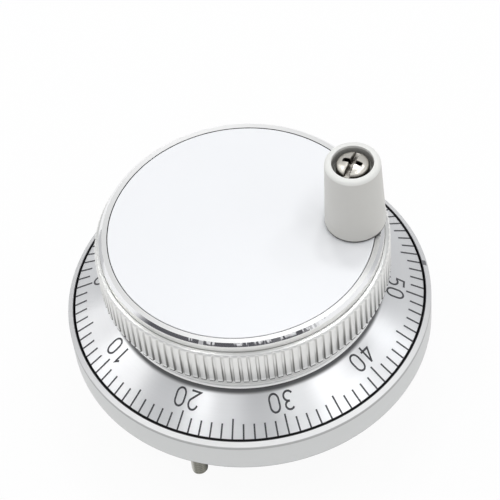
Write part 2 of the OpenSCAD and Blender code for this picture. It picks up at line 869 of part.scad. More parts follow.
module knob_shell() {
    color("gainsboro") {
        difference() {
            union() {
                knob_rings();
                knurl_band();
                translate([0, 0, roof_z])
                    cylinder(r = cavity_r + eps, h = floor_z - roof_z);
                translate([0, 0, seat_z])
                    cylinder(d = boss_d, h = roof_z - seat_z + eps);
                handle_place()
                    translate([0, 0, handle_tip_z - tip_space])
                        cylinder(d = handle_boss_d, h = roof_z - handle_tip_z + tip_space + eps);
            }
            translate([0, 0, seat_z - eps])
                cylinder(r = shaft_r + slip, h = nose_h + clear);
            at_polar(hub_screw_r, hub_screw_angles) {
                translate([0, 0, seat_z - eps])
                    cylinder(d = hub_screw_d + 2 * slip, h = knob_h);
                translate([0, 0, hub_head_z])
                    cylinder(d = hub_head_d + 2 * pocket_gap, h = hub_pocket + eps);
            }
            handle_place()
                translate([0, 0, handle_tip_z - tip_space / 2])
                    cylinder(d = handle_screw_d + 2 * slip, h = floor_z - handle_tip_z + tip_space);
        }
    }
}

module top_plate() {
    color("white")
        difference() {
            translate([0, 0, floor_z])
                cylinder(r = top_plate_r - top_plate_gap, h = top_plate_t);
            handle_place()
                translate([0, 0, floor_z - eps])
                    cylinder(d = spindle_d + 2 * slip, h = top_plate_t + 2 * eps);
        }
}

// ---- handle ----

module handle_spindle() {
    color("gold")
        handle_place()
            translate([0, 0, floor_z])
                tube(handle_screw_d / 2 + slip, spindle_d / 2, spindle_top_z - floor_z);
}

module handle_washer() {
    color("silver")
        handle_place()
            translate([0, 0, spindle_top_z])
                tube(handle_screw_d / 2 + slip, handle_washer_d / 2, handle_washer_t);
}

// a cross recess: two blades that narrow towards the bottom, at the head's middle
module cross_recess(size, depth) {
    for (a = [0, 90])
        rotate([90, 0, a])
            translate([0, 0, -size / 8])
                linear_extrude(size / 4)
                    polygon([
                        [-size / 2, eps], [-size / 6, -depth], [size / 6, -depth], [size / 2, eps]
                    ]);
}

// a pan head: a low dome on an upright edge, foot at 0
module pan_head(d, h) {
    rotate_extrude()
        polygon(concat(
            [[0, 0], [d / 2, 0]],
            [for (i = [0 : 6]) [d / 2 * cos(i * 15), h * 0.45 + h * 0.55 * sin(i * 15)]]
        ));
}

module handle_screw() {
    color("lightgray")
        handle_place()
            translate([0, 0, handle_head_z])
                difference() {
                    union() {
                        pan_head(handle_head_d, handle_head_h);
                        translate([0, 0, -handle_screw_l])
                            cylinder(d = handle_screw_d, h = handle_screw_l + eps);
                    }
                    translate([0, 0, handle_head_h])
                        rotate([0, 0, slot_turn]) {
                            cross_recess(handle_head_d * 0.62, handle_head_h * 0.6);
                            translate([-handle_head_d / 2, -handle_slot_w / 2, -handle_slot_h])
                                cube([handle_head_d, handle_slot_w, handle_slot_h + eps]);
                        }
                }
}

module handle_grip() {
    foot_r = grip_foot_d / 2;
    top_r = grip_top_d / 2;
    color("lightgray")
        handle_place()
            difference() {
                rotate_extrude()
                    polygon(concat(
                        [[0, grip_z], [foot_r - grip_bevel, grip_z], [foot_r, grip_z + grip_bevel]],
                        [for (i = [0 : 6])
                            [top_r - grip_round * (1 - cos(i * 15)),
                             grip_top_z - grip_round * (1 - sin(i * 15))]],
                        [[0, grip_top_z]]
                    ));
                translate([0, 0, grip_z - eps])
                    cylinder(r = spindle_d / 2 + grip_run, h = grip_h);
                translate([0, 0, recess_z])
                    cylinder(d = recess_d, h = recess_h + eps);
            }
}

// ---- detent ----

function wheel_point(r, share, k) =
    let (a = division_angle(k + share))
    [r * cos(a), r * sin(a)];

module detent_wheel() {
    color("slategray")
        difference() {
            translate([0, 0, wheel_z])
                linear_extrude(wheel_t)
                    polygon([
                        for (k = [0 : divisions - 1])
                            for (p = [[wheel_r, -0.2], [wheel_r, 0.2],
                                      [wheel_r - tooth_depth, 0.35], [wheel_r - tooth_depth, 0.65]])
                                wheel_point(p[0], p[1], k)
                    ]);
            translate([0, 0, wheel_z - eps])
                cylinder(r = shaft_r + slip, h = wheel_t + 2 * eps);
            at_polar(hub_screw_r, hub_screw_angles)
                translate([0, 0, wheel_z - eps])
                    cylinder(d = hub_screw_d + 2 * slip, h = wheel_t + 2 * eps);
        }
}

module detent_magnets() {
    color("darkgray")
        at_polar(yoke_r + yoke_t / 2, yoke_angles)
            translate([0, 0, plate_t])
                cylinder(d = magnet_d, h = magnet_h);
}

// a steel block on each magnet, with three poles that face the wheel's teeth
module detent_yokes() {
    pole = 2 * PI * wheel_r / divisions;
    color("slategray")
        at_polar(yoke_r + yoke_t / 2, yoke_angles)
            translate([0, 0, yoke_z])
                difference() {
                    slab(yoke_t, yoke_w, wheel_top_z - clear - yoke_z);
                    translate([-yoke_t / 2, 0, wheel_z - yoke_z - clear])
                        for (side = [-1.5, -0.5, 0.5, 1.5])
                            translate([-eps, (side - 0.3) * pole, 0])
                                cube([tooth_depth, 0.6 * pole, wheel_t + 1]);
                }
}

// ---- encoder ----

module disc_hub() {
    color("goldenrod")
        translate([0, 0, disc_top_z])
            difference() {
                tube(tail_d / 2 + slip, hub_d / 2, hub_h);
                translate([0, 0, hub_h / 2])
                    rotate([0, 90, 90])
                        cylinder(d = set_screw_d + 2 * slip, h = hub_d);
            }
}

module hub_set_screw() {
    color("dimgray")
        translate([0, 0, disc_top_z + hub_h / 2])
            rotate([0, 90, 90])
                translate([0, 0, tail_d / 2 + slip])
                    cylinder(d = set_screw_d, h = hub_d / 2 - tail_d / 2 - clear);
}

module code_disc() {
    color("lightsteelblue")
        translate([0, 0, disc_z])
            linear_extrude(disc_t)
                difference() {
                    circle(r = disc_r);
                    circle(r = tail_d / 2 + slip);
                    for (k = [0 : divisions - 1])
                        rotate(division_angle(k))
                            translate([track_r - slot_l / 2, -slot_w / 2])
                                square([slot_l, slot_w]);
                }
}

module disc_retainer() {
    color("dimgray")
        translate([0, 0, retainer_z])
            tube(tail_d / 2 + slip, tail_d / 2 + 2, retainer_t);
}

module optic_place() {
    rotate([0, 0, optic_angle])
        translate([track_r, 0, 0])
            children();
}

module emitter_leads(extra) {
    for (side = [-1, 1])
        translate([0, side * lead_pitch / 2 - lead_t / 2 - extra, 0]) {
            translate([0, 0, lead_z - extra])
                cube([lead_r - track_r, lead_t + 2 * extra, lead_t + 2 * extra]);
            translate([lead_r - track_r - lead_t, 0, board_top_z])
                cube([lead_t, lead_t + 2 * extra, lead_z - board_top_z + lead_t + extra]);
        }
}

module light_emitter() {
    color("lightblue")
        optic_place()
            union() {
                translate([0, 0, emitter_z])
                    cylinder(d = emitter_d, h = lead_z - emitter_z + lead_t);
                emitter_leads(0);
            }
}

module emitter_holder() {
    color("dimgray")
        optic_place()
            difference() {
                translate([tower_r + clear - track_r, -holder_w / 2, holder_z])
                    cube([track_r + holder_out - tower_r - clear, holder_w, relief_h - holder_z]);
                translate([0, 0, holder_z - eps])
                    cylinder(d = emitter_d + 2 * slip, h = lead_z - holder_z + lead_t + clear / 2);
                intersection() {
                    emitter_leads(slip);
                    translate([0, 0, lead_z - slip])
                        slab(4 * track_r, holder_w, lead_t + 2 * slip);
                }
            }
}

module light_sensor() {
    color("black")
        optic_place()
            translate([0, 0, board_top_z])
                slab(sensor_l, sensor_w, sensor_h);
}

// ---- circuit board ----

module circuit_board() {
    color("seagreen")
        translate([0, 0, board_z])
            difference() {
                cylinder(r = board_r, h = board_t);
                translate([0, 0, -eps]) {
                    cylinder(r = board_hole_r, h = board_t + 2 * eps);
                    at_polar(pillar_r, pillar_angles)
                        cylinder(d = pillar_d + 2 * board_gap, h = board_t + 2 * eps);
                    at_polar(pillar_r + pillar_d / 2, pillar_angles)
                        slab(pillar_d, pillar_d + 2 * board_gap, board_t + 2 * eps);
                    at_polar(board_screw_r, board_screw_angles)
                        cylinder(r = pad_hole_r, h = board_t + 2 * eps);
                    for (x = terminal_xs)
                        translate([x, leg_y, 0])
                            slab(leg_w + 2 * slip, leg_t + 2 * slip, board_t + 2 * eps);
                }
            }
}

module board_screws() {
    color("gainsboro")
        at_polar(board_screw_r, board_screw_angles)
            translate([0, 0, board_top_z]) {
                union() {
                    cylinder(d = board_screw_d * head_ratio, h = board_screw_d * 0.6);
                    translate([0, 0, case_in_z + edge - board_top_z])
                        cylinder(d = board_screw_d, h = board_top_z - case_in_z);
                }
            }
}

// a chip with legs along its two long sides
module chip(l) {
    legs = round(l / chip_pitch);
    leg_h = chip_h / 4;
    leg_out = chip_w / 4;
    translate([0, 0, leg_h / 2])
        slab(l, chip_w, chip_h - leg_h / 2);
    for (side = [-1, 1], i = [0 : legs - 1])
        translate([(i - (legs - 1) / 2) * chip_pitch, side * (chip_w + leg_out) / 2, 0])
            slab(chip_pitch / 3, leg_out + 2 * eps, leg_h);
}

module board_chips() {
    color("black")
        translate([0, 0, board_top_z]) {
            translate([main_row, -main_row, 0])
                chip(main_chip_l);
            translate([-small_chip_l, -edge_row, 0])
                chip(small_chip_l);
        }
}

// small board parts side by side along X
module passive_row(count) {
    for (i = [0 : count - 1])
        translate([(i - (count - 1) / 2) * passive_pitch, 0, 0])
            slab(passive_w, passive_l, passive_h);
}

module board_passives() {
    color("tan")
        translate([0, 0, board_top_z]) {
            translate([main_row, -edge_row, 0])
                passive_row(5);
            translate([0, rear_row, 0])
                passive_row(6);
        }
}

// ---- rear case and terminals ----

module rear_case() {
    color("dimgray")
        difference() {
            union() {
                difference() {
                    translate([0, 0, case_z])
                        cylinder(r = case_r, h = relief_h - case_z);
                    translate([0, 0, case_in_z])
                        cylinder(r = case_in_r, h = relief_h - case_in_z + eps);
                }
                at_polar(pillar_r, pillar_angles)
                    translate([0, 0, case_in_z - eps])
                        cylinder(d = pillar_d, h = relief_h - case_in_z + eps);
                at_polar(board_screw_r, board_screw_angles)
                    translate([0, 0, case_in_z - eps])
                        cylinder(d = pad_d, h = pad_h + eps);
            }
            at_polar(pillar_r, pillar_angles) {
                translate([0, 0, case_z - eps])
                    cylinder(d = case_screw_d + 2 * slip, h = relief_h - case_z + 2 * eps);
                translate([0, 0, case_z - eps])
                    cylinder(d = case_head_d + 2 * pocket_gap, h = case_head_h + eps);
            }
            at_polar(board_screw_r, board_screw_angles)
                translate([0, 0, case_in_z])
                    cylinder(r = pad_hole_r, h = pad_h + eps);
            for (x = terminal_xs) {
                translate([x, leg_y, case_z - eps])
                    slab(leg_w + 2 * slip, leg_t + 2 * slip, case_wall + 2 * eps);
                translate([x, 0, case_z - eps])
                    cylinder(d = terminal_screw_d + 2 * slip, h = case_wall + 2 * eps);
            }
            for (side = [-1, 1])
                translate([side * ear_x, 0, case_z - eps])
                    cylinder(d = ear_screw_d + 2 * slip, h = case_wall + 2 * eps);
        }
}

module case_screws() {
    color("gainsboro")
        at_polar(pillar_r, pillar_angles)
            difference() {
                union() {
                    translate([0, 0, case_head_z - case_head_h + screw_sink])
                        cylinder(d = case_head_d, h = case_head_h - screw_sink);
                    translate([0, 0, case_head_z - eps])
                        cylinder(d = case_screw_d, h = case_screw_in - case_head_z + eps);
                }
                translate([0, 0, case_z + screw_sink])
                    rotate([180, 0, 0])
                        cross_recess(case_head_d * 0.6, case_head_h * 0.5);
            }
}

module terminal_block() {
    color("black")
        difference() {
            union() {
                translate([0, 0, base_z])
                    slab(block_l, block_w, base_t);
                translate([0, 0, base_z])
                    slab(block_l + 2 * ear_l, block_w / 2, base_t);
                for (i = [0 : terminals])
                    translate([(i - terminals / 2) * terminal_pitch, 0, barrier_z])
                        slab(barrier_t, block_w, barrier_h + eps);
            }
            for (x = terminal_xs) {
                translate([x, leg_y, base_z - eps])
                    slab(leg_w + 2 * slip, leg_t + 2 * slip, base_t + 2 * eps);
                translate([x, 0, base_z - eps])
                    cylinder(d = terminal_screw_d + 2 * slip, h = base_t + 2 * eps);
            }
            for (side = [-1, 1])
                translate([side * ear_x, 0, base_z - eps])
                    cylinder(d = ear_screw_d + 2 * slip, h = base_t + 2 * eps);
        }
}

module block_screws() {
    color("gainsboro")
        for (side = [-1, 1])
            translate([side * ear_x, 0, base_z])
                difference() {
                    union() {
                        mirror([0, 0, 1])
                            pan_head(ear_screw_d * head_ratio, ear_screw_d * 0.7);
                        cylinder(d = ear_screw_d, h = base_t + case_wall + clear);
                    }
                    translate([0, 0, -ear_screw_d * 0.7])
                        rotate([180, 0, 0])
                            cross_recess(ear_screw_d * 1.2, ear_screw_d * 0.4);
                }
}

module terminal_plates() {
    color("goldenrod")
        for (x = terminal_xs)
            translate([x, 0, 0]) {
                difference() {
                    translate([0, (leg_y + leg_t / 2 - terminal_past) / 2, terminal_z])
                        slab(bay_w - 2 * terminal_gap, leg_y + leg_t / 2 + terminal_past, terminal_t);
                    translate([0, 0, terminal_z - eps])
                        cylinder(d = terminal_screw_d + 2 * slip, h = terminal_t + 2 * eps);
                }
                translate([0, leg_y, terminal_z + terminal_t - eps])
                    slab(leg_w, leg_t, board_top_z + clear - terminal_z - terminal_t);
            }
}

module terminal_washers() {
    color("silver")
        for (x = terminal_xs)
            translate([x, 0, terminal_washer_z])
                difference() {
                    slab(bay_w - 3 * terminal_gap, terminal_washer_w, terminal_washer_t);
                    translate([0, 0, -eps])
                        cylinder(d = terminal_screw_d + 2 * slip, h = terminal_washer_t + 2 * eps);
                }
}

module terminal_screws() {
    head_d = terminal_screw_d * 1.65;
    color("gainsboro")
        for (x = terminal_xs)
            translate([x, 0, terminal_washer_z])
                difference() {
                    union() {
                        mirror([0, 0, 1])
                            pan_head(head_d, terminal_head_h);
                        cylinder(d = terminal_screw_d, h = terminal_screw_l);
                    }
                    translate([0, 0, -terminal_head_h])
                        rotate([180, 0, 0])
                            cross_recess(head_d * 0.62, terminal_head_h * 0.6);
                }
}

flange_housing();
index_mark();
mounting_studs();
rear_case();
case_screws();
terminal_block();
block_screws();
terminal_plates();
terminal_washers();
terminal_screws();
circuit_board();
board_screws();
board_chips();
board_passives();
light_sensor();
light_emitter();
emitter_holder();
detent_magnets();
detent_yokes();
bearing_outer_rings();
bearing_balls();
bearing_cages();
bearing_shields();
dial_ring();
dial_ticks();
dial_numerals();
knob_shell();
top_plate();
shaft();
hub_screws();
bearing_inner_rings();
bearing_spacer();
retaining_ring();
detent_wheel();
disc_hub();
hub_set_screw();
code_disc();
disc_retainer();
handle_spindle();
handle_screw();
handle_washer();
handle_grip();
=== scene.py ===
import json
import math

import bmesh
import bpy
import numpy as np
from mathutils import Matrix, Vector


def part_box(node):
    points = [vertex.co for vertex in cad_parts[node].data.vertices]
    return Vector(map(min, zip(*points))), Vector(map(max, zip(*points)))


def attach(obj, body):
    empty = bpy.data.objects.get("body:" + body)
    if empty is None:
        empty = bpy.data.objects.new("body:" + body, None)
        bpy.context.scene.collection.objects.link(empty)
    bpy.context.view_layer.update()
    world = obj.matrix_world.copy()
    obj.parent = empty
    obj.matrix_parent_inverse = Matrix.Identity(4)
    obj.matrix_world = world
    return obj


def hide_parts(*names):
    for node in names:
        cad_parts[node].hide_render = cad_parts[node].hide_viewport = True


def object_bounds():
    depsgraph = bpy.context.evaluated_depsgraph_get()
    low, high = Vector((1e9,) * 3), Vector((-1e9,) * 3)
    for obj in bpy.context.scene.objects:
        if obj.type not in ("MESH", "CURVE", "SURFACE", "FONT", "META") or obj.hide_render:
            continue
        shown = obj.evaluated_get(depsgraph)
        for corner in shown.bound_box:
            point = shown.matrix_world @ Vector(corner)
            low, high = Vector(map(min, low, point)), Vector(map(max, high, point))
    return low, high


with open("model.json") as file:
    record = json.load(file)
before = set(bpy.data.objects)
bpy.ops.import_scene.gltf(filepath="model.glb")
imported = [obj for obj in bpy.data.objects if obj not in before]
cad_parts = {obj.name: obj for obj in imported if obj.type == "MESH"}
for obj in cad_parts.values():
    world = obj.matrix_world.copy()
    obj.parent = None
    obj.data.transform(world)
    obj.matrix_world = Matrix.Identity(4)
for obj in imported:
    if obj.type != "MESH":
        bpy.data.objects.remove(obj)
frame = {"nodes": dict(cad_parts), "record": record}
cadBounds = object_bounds()
print("frame loaded:", len(frame["nodes"]), "nodes")

mm = 0.001
record = frame["record"]
bodyOfNode = {n: body for body, nodes in record["behaviour"]["bodies"].items() for n in nodes}
slotOfNode = {part["node"]: part["material_slot"] for part in record["subparts"]}


def nodeBox(node):
    # lowest and highest corner of a CAD node, in millimetres
    lo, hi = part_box(node)
    return np.array(lo) / mm, np.array(hi) / mm


# sizes that more than one piece or look uses, in millimetres
shared = {
    "dialEdge": 1.4,        # height of the dial's upright edge
    "knurlProud": 1.2,      # how far the knurled band stands out past the land above it
    "bevel": 0.6,           # heights of the knob's bevel, of the land under it and of the knurl
    "land": 1.65,
    "knurl": 9.2,
}
dialFoot, dialTop = nodeBox("dial_ring")
knobTop = nodeBox("knob_shell")[1]
flangeTop = nodeBox("flange_housing")[1]
plateFoot, plateTop = nodeBox("top_plate")
gripFoot, gripTop = nodeBox("handle_grip")
screwFoot, screwTop = nodeBox("handle_screw")
washerFoot, washerTop = nodeBox("handle_washer")
studFoot, studTop = nodeBox("mounting_studs")
handle = (gripFoot[:2] + gripTop[:2]) / 2      # where the handle's axis stands
flangeR = flangeTop[0]
dialR = dialTop[0]
knurlR = knobTop[0]
landR = knurlR - shared["knurlProud"]
seatZ = dialTop[2]          # the knob sits on the dial here
rimZ = dialFoot[2] + shared["dialEdge"]
bezelZ = knobTop[2]
knurlTopZ = bezelZ - (shared["bevel"] + shared["land"])
knurlFootZ = knurlTopZ - shared["knurl"]
plateZ = plateFoot[2]
floorZ = cadBounds[0][2] / mm

# camera and studio
view = {
    "azimuth": 86.35,       # object's turn under the camera, degrees
    "elevation": 52.67,
    "roll": -7.07,
    "distance": 453.2,
    "lens": 148.5,
    "shift": (0.0028, 0.0856),
}


def placeCamera():
    turn = math.radians(view["azimuth"])
    rise = math.radians(view["elevation"])
    roll = math.radians(view["roll"])
    back = np.array((math.sin(turn) * math.cos(rise), -math.cos(turn) * math.cos(rise), math.sin(rise)))
    right = np.array((math.cos(turn), math.sin(turn), 0))
    up = np.cross(back, right)
    across = right * math.cos(roll) + up * math.sin(roll)
    upwards = up * math.cos(roll) - right * math.sin(roll)
    camera = bpy.data.objects.new("camera", bpy.data.cameras.new("camera"))
    camera.data.lens = view["lens"]
    camera.data.sensor_width = 36
    camera.data.shift_x, camera.data.shift_y = view["shift"]
    camera.data.clip_start = 0.01
    placeThing(camera, across, upwards, back, np.array((0, 0, rimZ)) * mm + back * view["distance"] * mm)
    bpy.context.scene.camera = camera


def placeThing(thing, across, up, back, spot):
    # an object into the scene, with these three axes and at this spot in metres
    place = np.eye(4)
    place[:3, 0], place[:3, 1], place[:3, 2], place[:3, 3] = across, up, back, spot
    thing.matrix_world = [list(row) for row in place.T]
    bpy.context.scene.collection.objects.link(thing)


studio = {
    "worldColour": (0.58, 0.587, 0.597),
    "lampDistance": 1.2,
    "lampSize": 0.14,
    "floorSize": 4.0,
    "floorColour": (0.93, 0.93, 0.93),
    "floorRoughness": 0.9,
    "floorGlow": 0.94,      # share of the floor that camera and glossy rays see as plain white
}
# what the polished bevel shows: bands in the room, painted one over the other, each inside the one before.
# They are highest on the camera's side and fall to both sides of it
bandShape = {
    "height": 46,           # degrees above the horizon on the camera's side
    "fall": 0.24,           # how much lower they run a quarter turn away, as a sine
    "softEdge": 0.02,       # half the width of the edges above and below, as a sine
    "softEnd": 7,           # half the width of the edges at both ends, in degrees
}
bands = {
    "bright": {"azimuth": -17, "halfWidth": 112, "halfHeight": 14, "colour": (0.96, 0.965, 0.975)},
    "plain": {"azimuth": -20, "halfWidth": 64, "halfHeight": 11, "colour": (0.64, 0.645, 0.655)},
    "dark": {"azimuth": -20, "halfWidth": 62, "halfHeight": 5, "colour": (0.1, 0.1, 0.11)},
}

# round softboxes about the object; like the bands', their azimuths start at the camera's and run
# counter-clockwise seen from above, in degrees
softboxes = {
    "backLeft": {"azimuth": -126, "elevation": 52, "power": 0.91, "colour": (1, 0.99, 0.975)},
    "lowLeft": {"azimuth": -130, "elevation": 34, "power": 0.21, "colour": (1, 0.99, 0.975)},
    "left": {"azimuth": -102, "elevation": 52, "power": 0.26, "colour": (1, 0.99, 0.975)},
    "frontLeft": {"azimuth": -60, "elevation": 67, "power": 0.64, "colour": (1, 1, 1)},
    "nearLeft": {"azimuth": -30, "elevation": 67, "power": 0.17, "colour": (1, 1, 1)},
    "nearRight": {"azimuth": 30, "elevation": 67, "power": 0.3, "colour": (1, 1, 1)},
    "frontRight": {"azimuth": 60, "elevation": 67, "power": 0.55, "colour": (1, 1, 1)},
    "right": {"azimuth": 90, "elevation": 67, "power": 0.63, "colour": (1, 1, 1)},
    "lowRight": {"azimuth": 114, "elevation": 52, "power": 0.57, "colour": (0.98, 0.99, 1)},
    "backRight": {"azimuth": 150, "elevation": 67, "power": 1.18, "colour": (0.98, 0.99, 1)},
    "back": {"azimuth": 180, "elevation": 67, "power": 1.19, "colour": (1, 1, 1)},
}


def placeSoftboxes():
    for name, box in softboxes.items():
        light = bpy.data.lights.new(name, "AREA")
        light.shape = "DISK"
        light.size = studio["lampSize"]
        light.energy = box["power"]
        light.color = box["colour"]
        lamp = bpy.data.objects.new(name, light)
        turn = math.radians(view["azimuth"] - 90 + box["azimuth"])
        rise = math.radians(box["elevation"])
        back = np.array((math.cos(turn) * math.cos(rise), math.sin(turn) * math.cos(rise), math.sin(rise)))
        across = np.array((-math.sin(turn), math.cos(turn), 0))
        placeThing(lamp, across, np.cross(back, across), back, back * studio["lampDistance"])


# node helpers

def addNode(tree, kind, inputs=None, **settings):
    # adds a node, sets its properties and fills its inputs with values or links
    node = tree.nodes.new(kind)
    for key, value in settings.items():
        setattr(node, key, value)
    for key, value in (inputs or {}).items():
        if isinstance(value, bpy.types.NodeSocket):
            tree.links.new(value, node.inputs[key])
        else:
            node.inputs[key].default_value = value
    return node


def calc(tree, operation, a, b=0.0, c=0.0):
    return addNode(tree, "ShaderNodeMath", {0: a, 1: b, 2: c}, operation=operation).outputs[0]


def vectorCalc(tree, operation, a, b=(0, 0, 0), output="Vector"):
    return addNode(tree, "ShaderNodeVectorMath", {0: a, 1: b}, operation=operation).outputs[output]


def spreadAbout(tree, value, middle, spread):
    # a value from 0 to 1 becomes one about the middle, at most half the spread away from it
    return calc(tree, "MULTIPLY_ADD", value, spread, middle - spread / 2)


def axisParts(tree, vector):
    # a point's distance from the upright axis and its height, both in metres
    parts = addNode(tree, "ShaderNodeSeparateXYZ", {0: vector}).outputs
    flat = addNode(tree, "ShaderNodeCombineXYZ", {0: parts[0], 1: parts[1]}).outputs[0]
    return vectorCalc(tree, "LENGTH", flat, output="Value"), parts[2]


def mixColour(tree, share, a, b):
    return addNode(tree, "ShaderNodeMix", {0: share, 6: a, 7: b}, data_type="RGBA").outputs[2]


def mixValue(tree, share, a, b):
    return addNode(tree, "ShaderNodeMix", {0: share, 2: a, 3: b}).outputs[0]


def rampValue(tree, value, low, high, fromLow, fromHigh):
    # low up to fromLow, high from fromHigh on, and a smooth step in between
    inputs = {"Value": value, "From Min": fromLow, "From Max": fromHigh, "To Min": low, "To Max": high}
    return addNode(tree, "ShaderNodeMapRange", inputs, interpolation_type="SMOOTHSTEP").outputs["Result"]


def newMaterial(name, colour, metallic, roughness):
    material = bpy.data.materials.new(name)
    material.use_nodes = True
    tree = material.node_tree
    shader = tree.nodes["Principled BSDF"]
    shader.inputs["Base Color"].default_value = (*colour, 1)
    shader.inputs["Metallic"].default_value = metallic
    shader.inputs["Roughness"].default_value = roughness
    place = addNode(tree, "ShaderNodeTexCoord").outputs["Object"]
    return material, tree, shader, place


def newGroup(name, inputs, outputs):
    # an empty shader group with named sockets: (name, kind, value) going in and (name, kind) coming out
    group = bpy.data.node_groups.new(name, "ShaderNodeTree")
    for label, kind, value in inputs:
        socket = group.interface.new_socket(label, in_out="INPUT", socket_type=kind)
        if value is not None:
            socket.default_value = value
    for label, kind in outputs:
        group.interface.new_socket(label, in_out="OUTPUT", socket_type=kind)
    return group, group.nodes.new("NodeGroupInput").outputs, group.nodes.new("NodeGroupOutput")


def useGroup(tree, group, **inputs):
    return addNode(tree, "ShaderNodeGroup", inputs, node_tree=group).outputs


# effects that several materials share

def makeTurnedLines():
    # fine lines left by a lathe: noise along the distance from the axis plus the height, and broad patches
    group, given, out = newGroup("turnedLines", [
        ("Vector", "NodeSocketVector", None), ("Spacing", "NodeSocketFloat", 0.0003),
        ("Waver", "NodeSocketFloat", 0.00005)
    ], [("Lines", "NodeSocketFloat"), ("Patches", "NodeSocketFloat")])
    radius, height = axisParts(group, given["Vector"])
    along = calc(group, "MULTIPLY_ADD", height, 1.3, radius)
    drift = addNode(group, "ShaderNodeTexNoise", {"Vector": given["Vector"], "Scale": 45.0}).outputs[0]
    along = calc(group, "MULTIPLY_ADD", drift, given["Waver"], along)
    step = calc(group, "DIVIDE", along, given["Spacing"])
    lines = addNode(group, "ShaderNodeTexNoise", {"W": step, "Scale": 1.0, "Detail": 3.0, "Roughness": 0.6},
                    noise_dimensions="1D").outputs[0]
    wide = {"Vector": given["Vector"], "Scale": 90.0, "Detail": 2.0}
    patches = addNode(group, "ShaderNodeTexNoise", wide).outputs[0]
    group.links.new(lines, out.inputs["Lines"])
    group.links.new(patches, out.inputs["Patches"])
    return group


def makeFineGrain():
    # the fine grain of moulded or blasted surfaces and the faint marks of handling over it
    group, given, out = newGroup("fineGrain", [
        ("Vector", "NodeSocketVector", None), ("Size", "NodeSocketFloat", 0.0002)
    ], [("Grain", "NodeSocketFloat"), ("Marks", "NodeSocketFloat")])
    scale = calc(group, "DIVIDE", 1.0, given["Size"])
    grain = addNode(group, "ShaderNodeTexNoise", {"Vector": given["Vector"], "Scale": scale, "Detail": 3.0,
                                                  "Roughness": 0.55}).outputs[0]
    marks = addNode(group, "ShaderNodeTexNoise", {"Vector": given["Vector"], "Scale": 120.0, "Detail": 4.0,
                                                  "Roughness": 0.6, "Distortion": 0.6}).outputs[0]
    group.links.new(grain, out.inputs["Grain"])
    group.links.new(marks, out.inputs["Marks"])
    return group


def makeRadiusHeight():
    # where a point lies about the axis, for the masks
    group, given, out = newGroup("radiusHeight", [("Vector", "NodeSocketVector", None)],
                                 [("Radius", "NodeSocketFloat"), ("Height", "NodeSocketFloat")])
    radius, height = axisParts(group, given["Vector"])
    group.links.new(radius, out.inputs["Radius"])
    group.links.new(height, out.inputs["Height"])
    return group


turnedLines = makeTurnedLines()
fineGrain = makeFineGrain()
radiusHeight = makeRadiusHeight()


def bumpFrom(tree, height, distance):
    return addNode(tree, "ShaderNodeBump", {"Height": height, "Distance": distance}).outputs["Normal"]


# materials

def spunAluminium(name, look):
    # turned aluminium whose shine spreads along the radius
    material, tree, shader, place = newMaterial(name, look["colour"], look["metallic"], look["roughness"])
    shader.inputs["Anisotropic"].default_value = look["anisotropy"]
    shader.inputs["Anisotropic Rotation"].default_value = 0.25
    tangent = addNode(tree, "ShaderNodeTangent", direction_type="RADIAL", axis="Z")
    tree.links.new(tangent.outputs[0], shader.inputs["Tangent"])
    lines = useGroup(tree, turnedLines, Vector=place, Spacing=look["spacing"])
    tone = spreadAbout(tree, lines["Lines"], 1, look["lineTone"])
    colour = scaledColour(tree, look["colour"], tone)
    where = useGroup(tree, radiusHeight, Vector=place)
    rough = spreadAbout(tree, lines["Patches"], look["roughness"], look["roughSpread"])
    for mask in look["masks"]:
        inside = bandMask(tree, where, mask)
        shade = (*mask["colour"], 1)
        # a mask that names a side gets its colour on that side and its away colour elsewhere: painted light
        # on one side
        if "away" in mask:
            shade = mixColour(tree, facingShare(tree, place, mask["facing"]), (*mask["away"], 1), shade)
        colour = mixColour(tree, inside, colour, shade)
        rough = mixValue(tree, inside, rough, mask["roughness"])
        if "metallic" in mask:
            metal = mixValue(tree, inside, look["metallic"], mask["metallic"])
            tree.links.new(metal, shader.inputs["Metallic"])
    tree.links.new(colour, shader.inputs["Base Color"])
    tree.links.new(rough, shader.inputs["Roughness"])
    tree.links.new(bumpFrom(tree, lines["Lines"], look["lineDepth"]), shader.inputs["Normal"])
    return material


def scaledColour(tree, colour, scale):
    node = addNode(tree, "ShaderNodeVectorMath", {0: colour, "Scale": scale}, operation="SCALE")
    return node.outputs[0]


def facingShare(tree, place, azimuth):
    # 1 on the side of the axis that the azimuth names, falling to 0 nearly a quarter turn away
    turn = math.radians(azimuth)
    outward = vectorCalc(tree, "NORMALIZE", vectorCalc(tree, "MULTIPLY", place, (1, 1, 0)))
    cosine = vectorCalc(tree, "DOT_PRODUCT", outward, (math.cos(turn), math.sin(turn), 0), "Value")
    return rampValue(tree, cosine, 0, 1, 0.1, 0.9)


def bandMask(tree, where, mask):
    # 1 between two radii and two heights, in millimetres; soft widens the edges, and strength scales the mask
    # from its low end to its high end
    edge = mask.get("soft", 0.02) * mm
    inside = None
    for label, low, high in (("Radius", *mask["radius"]), ("Height", *mask["height"])):
        above = rampValue(tree, where[label], 0, 1, low * mm - edge, low * mm + edge)
        below = rampValue(tree, where[label], 1, 0, high * mm - edge, high * mm + edge)
        both = calc(tree, "MULTIPLY", above, below)
        inside = both if inside is None else calc(tree, "MULTIPLY", inside, both)
    low, high = mask.get("strength", (1, 1))
    foot, top = mask["height"]
    share = rampValue(tree, where["Height"], low, high, foot * mm, top * mm)
    return calc(tree, "MULTIPLY", inside, share)


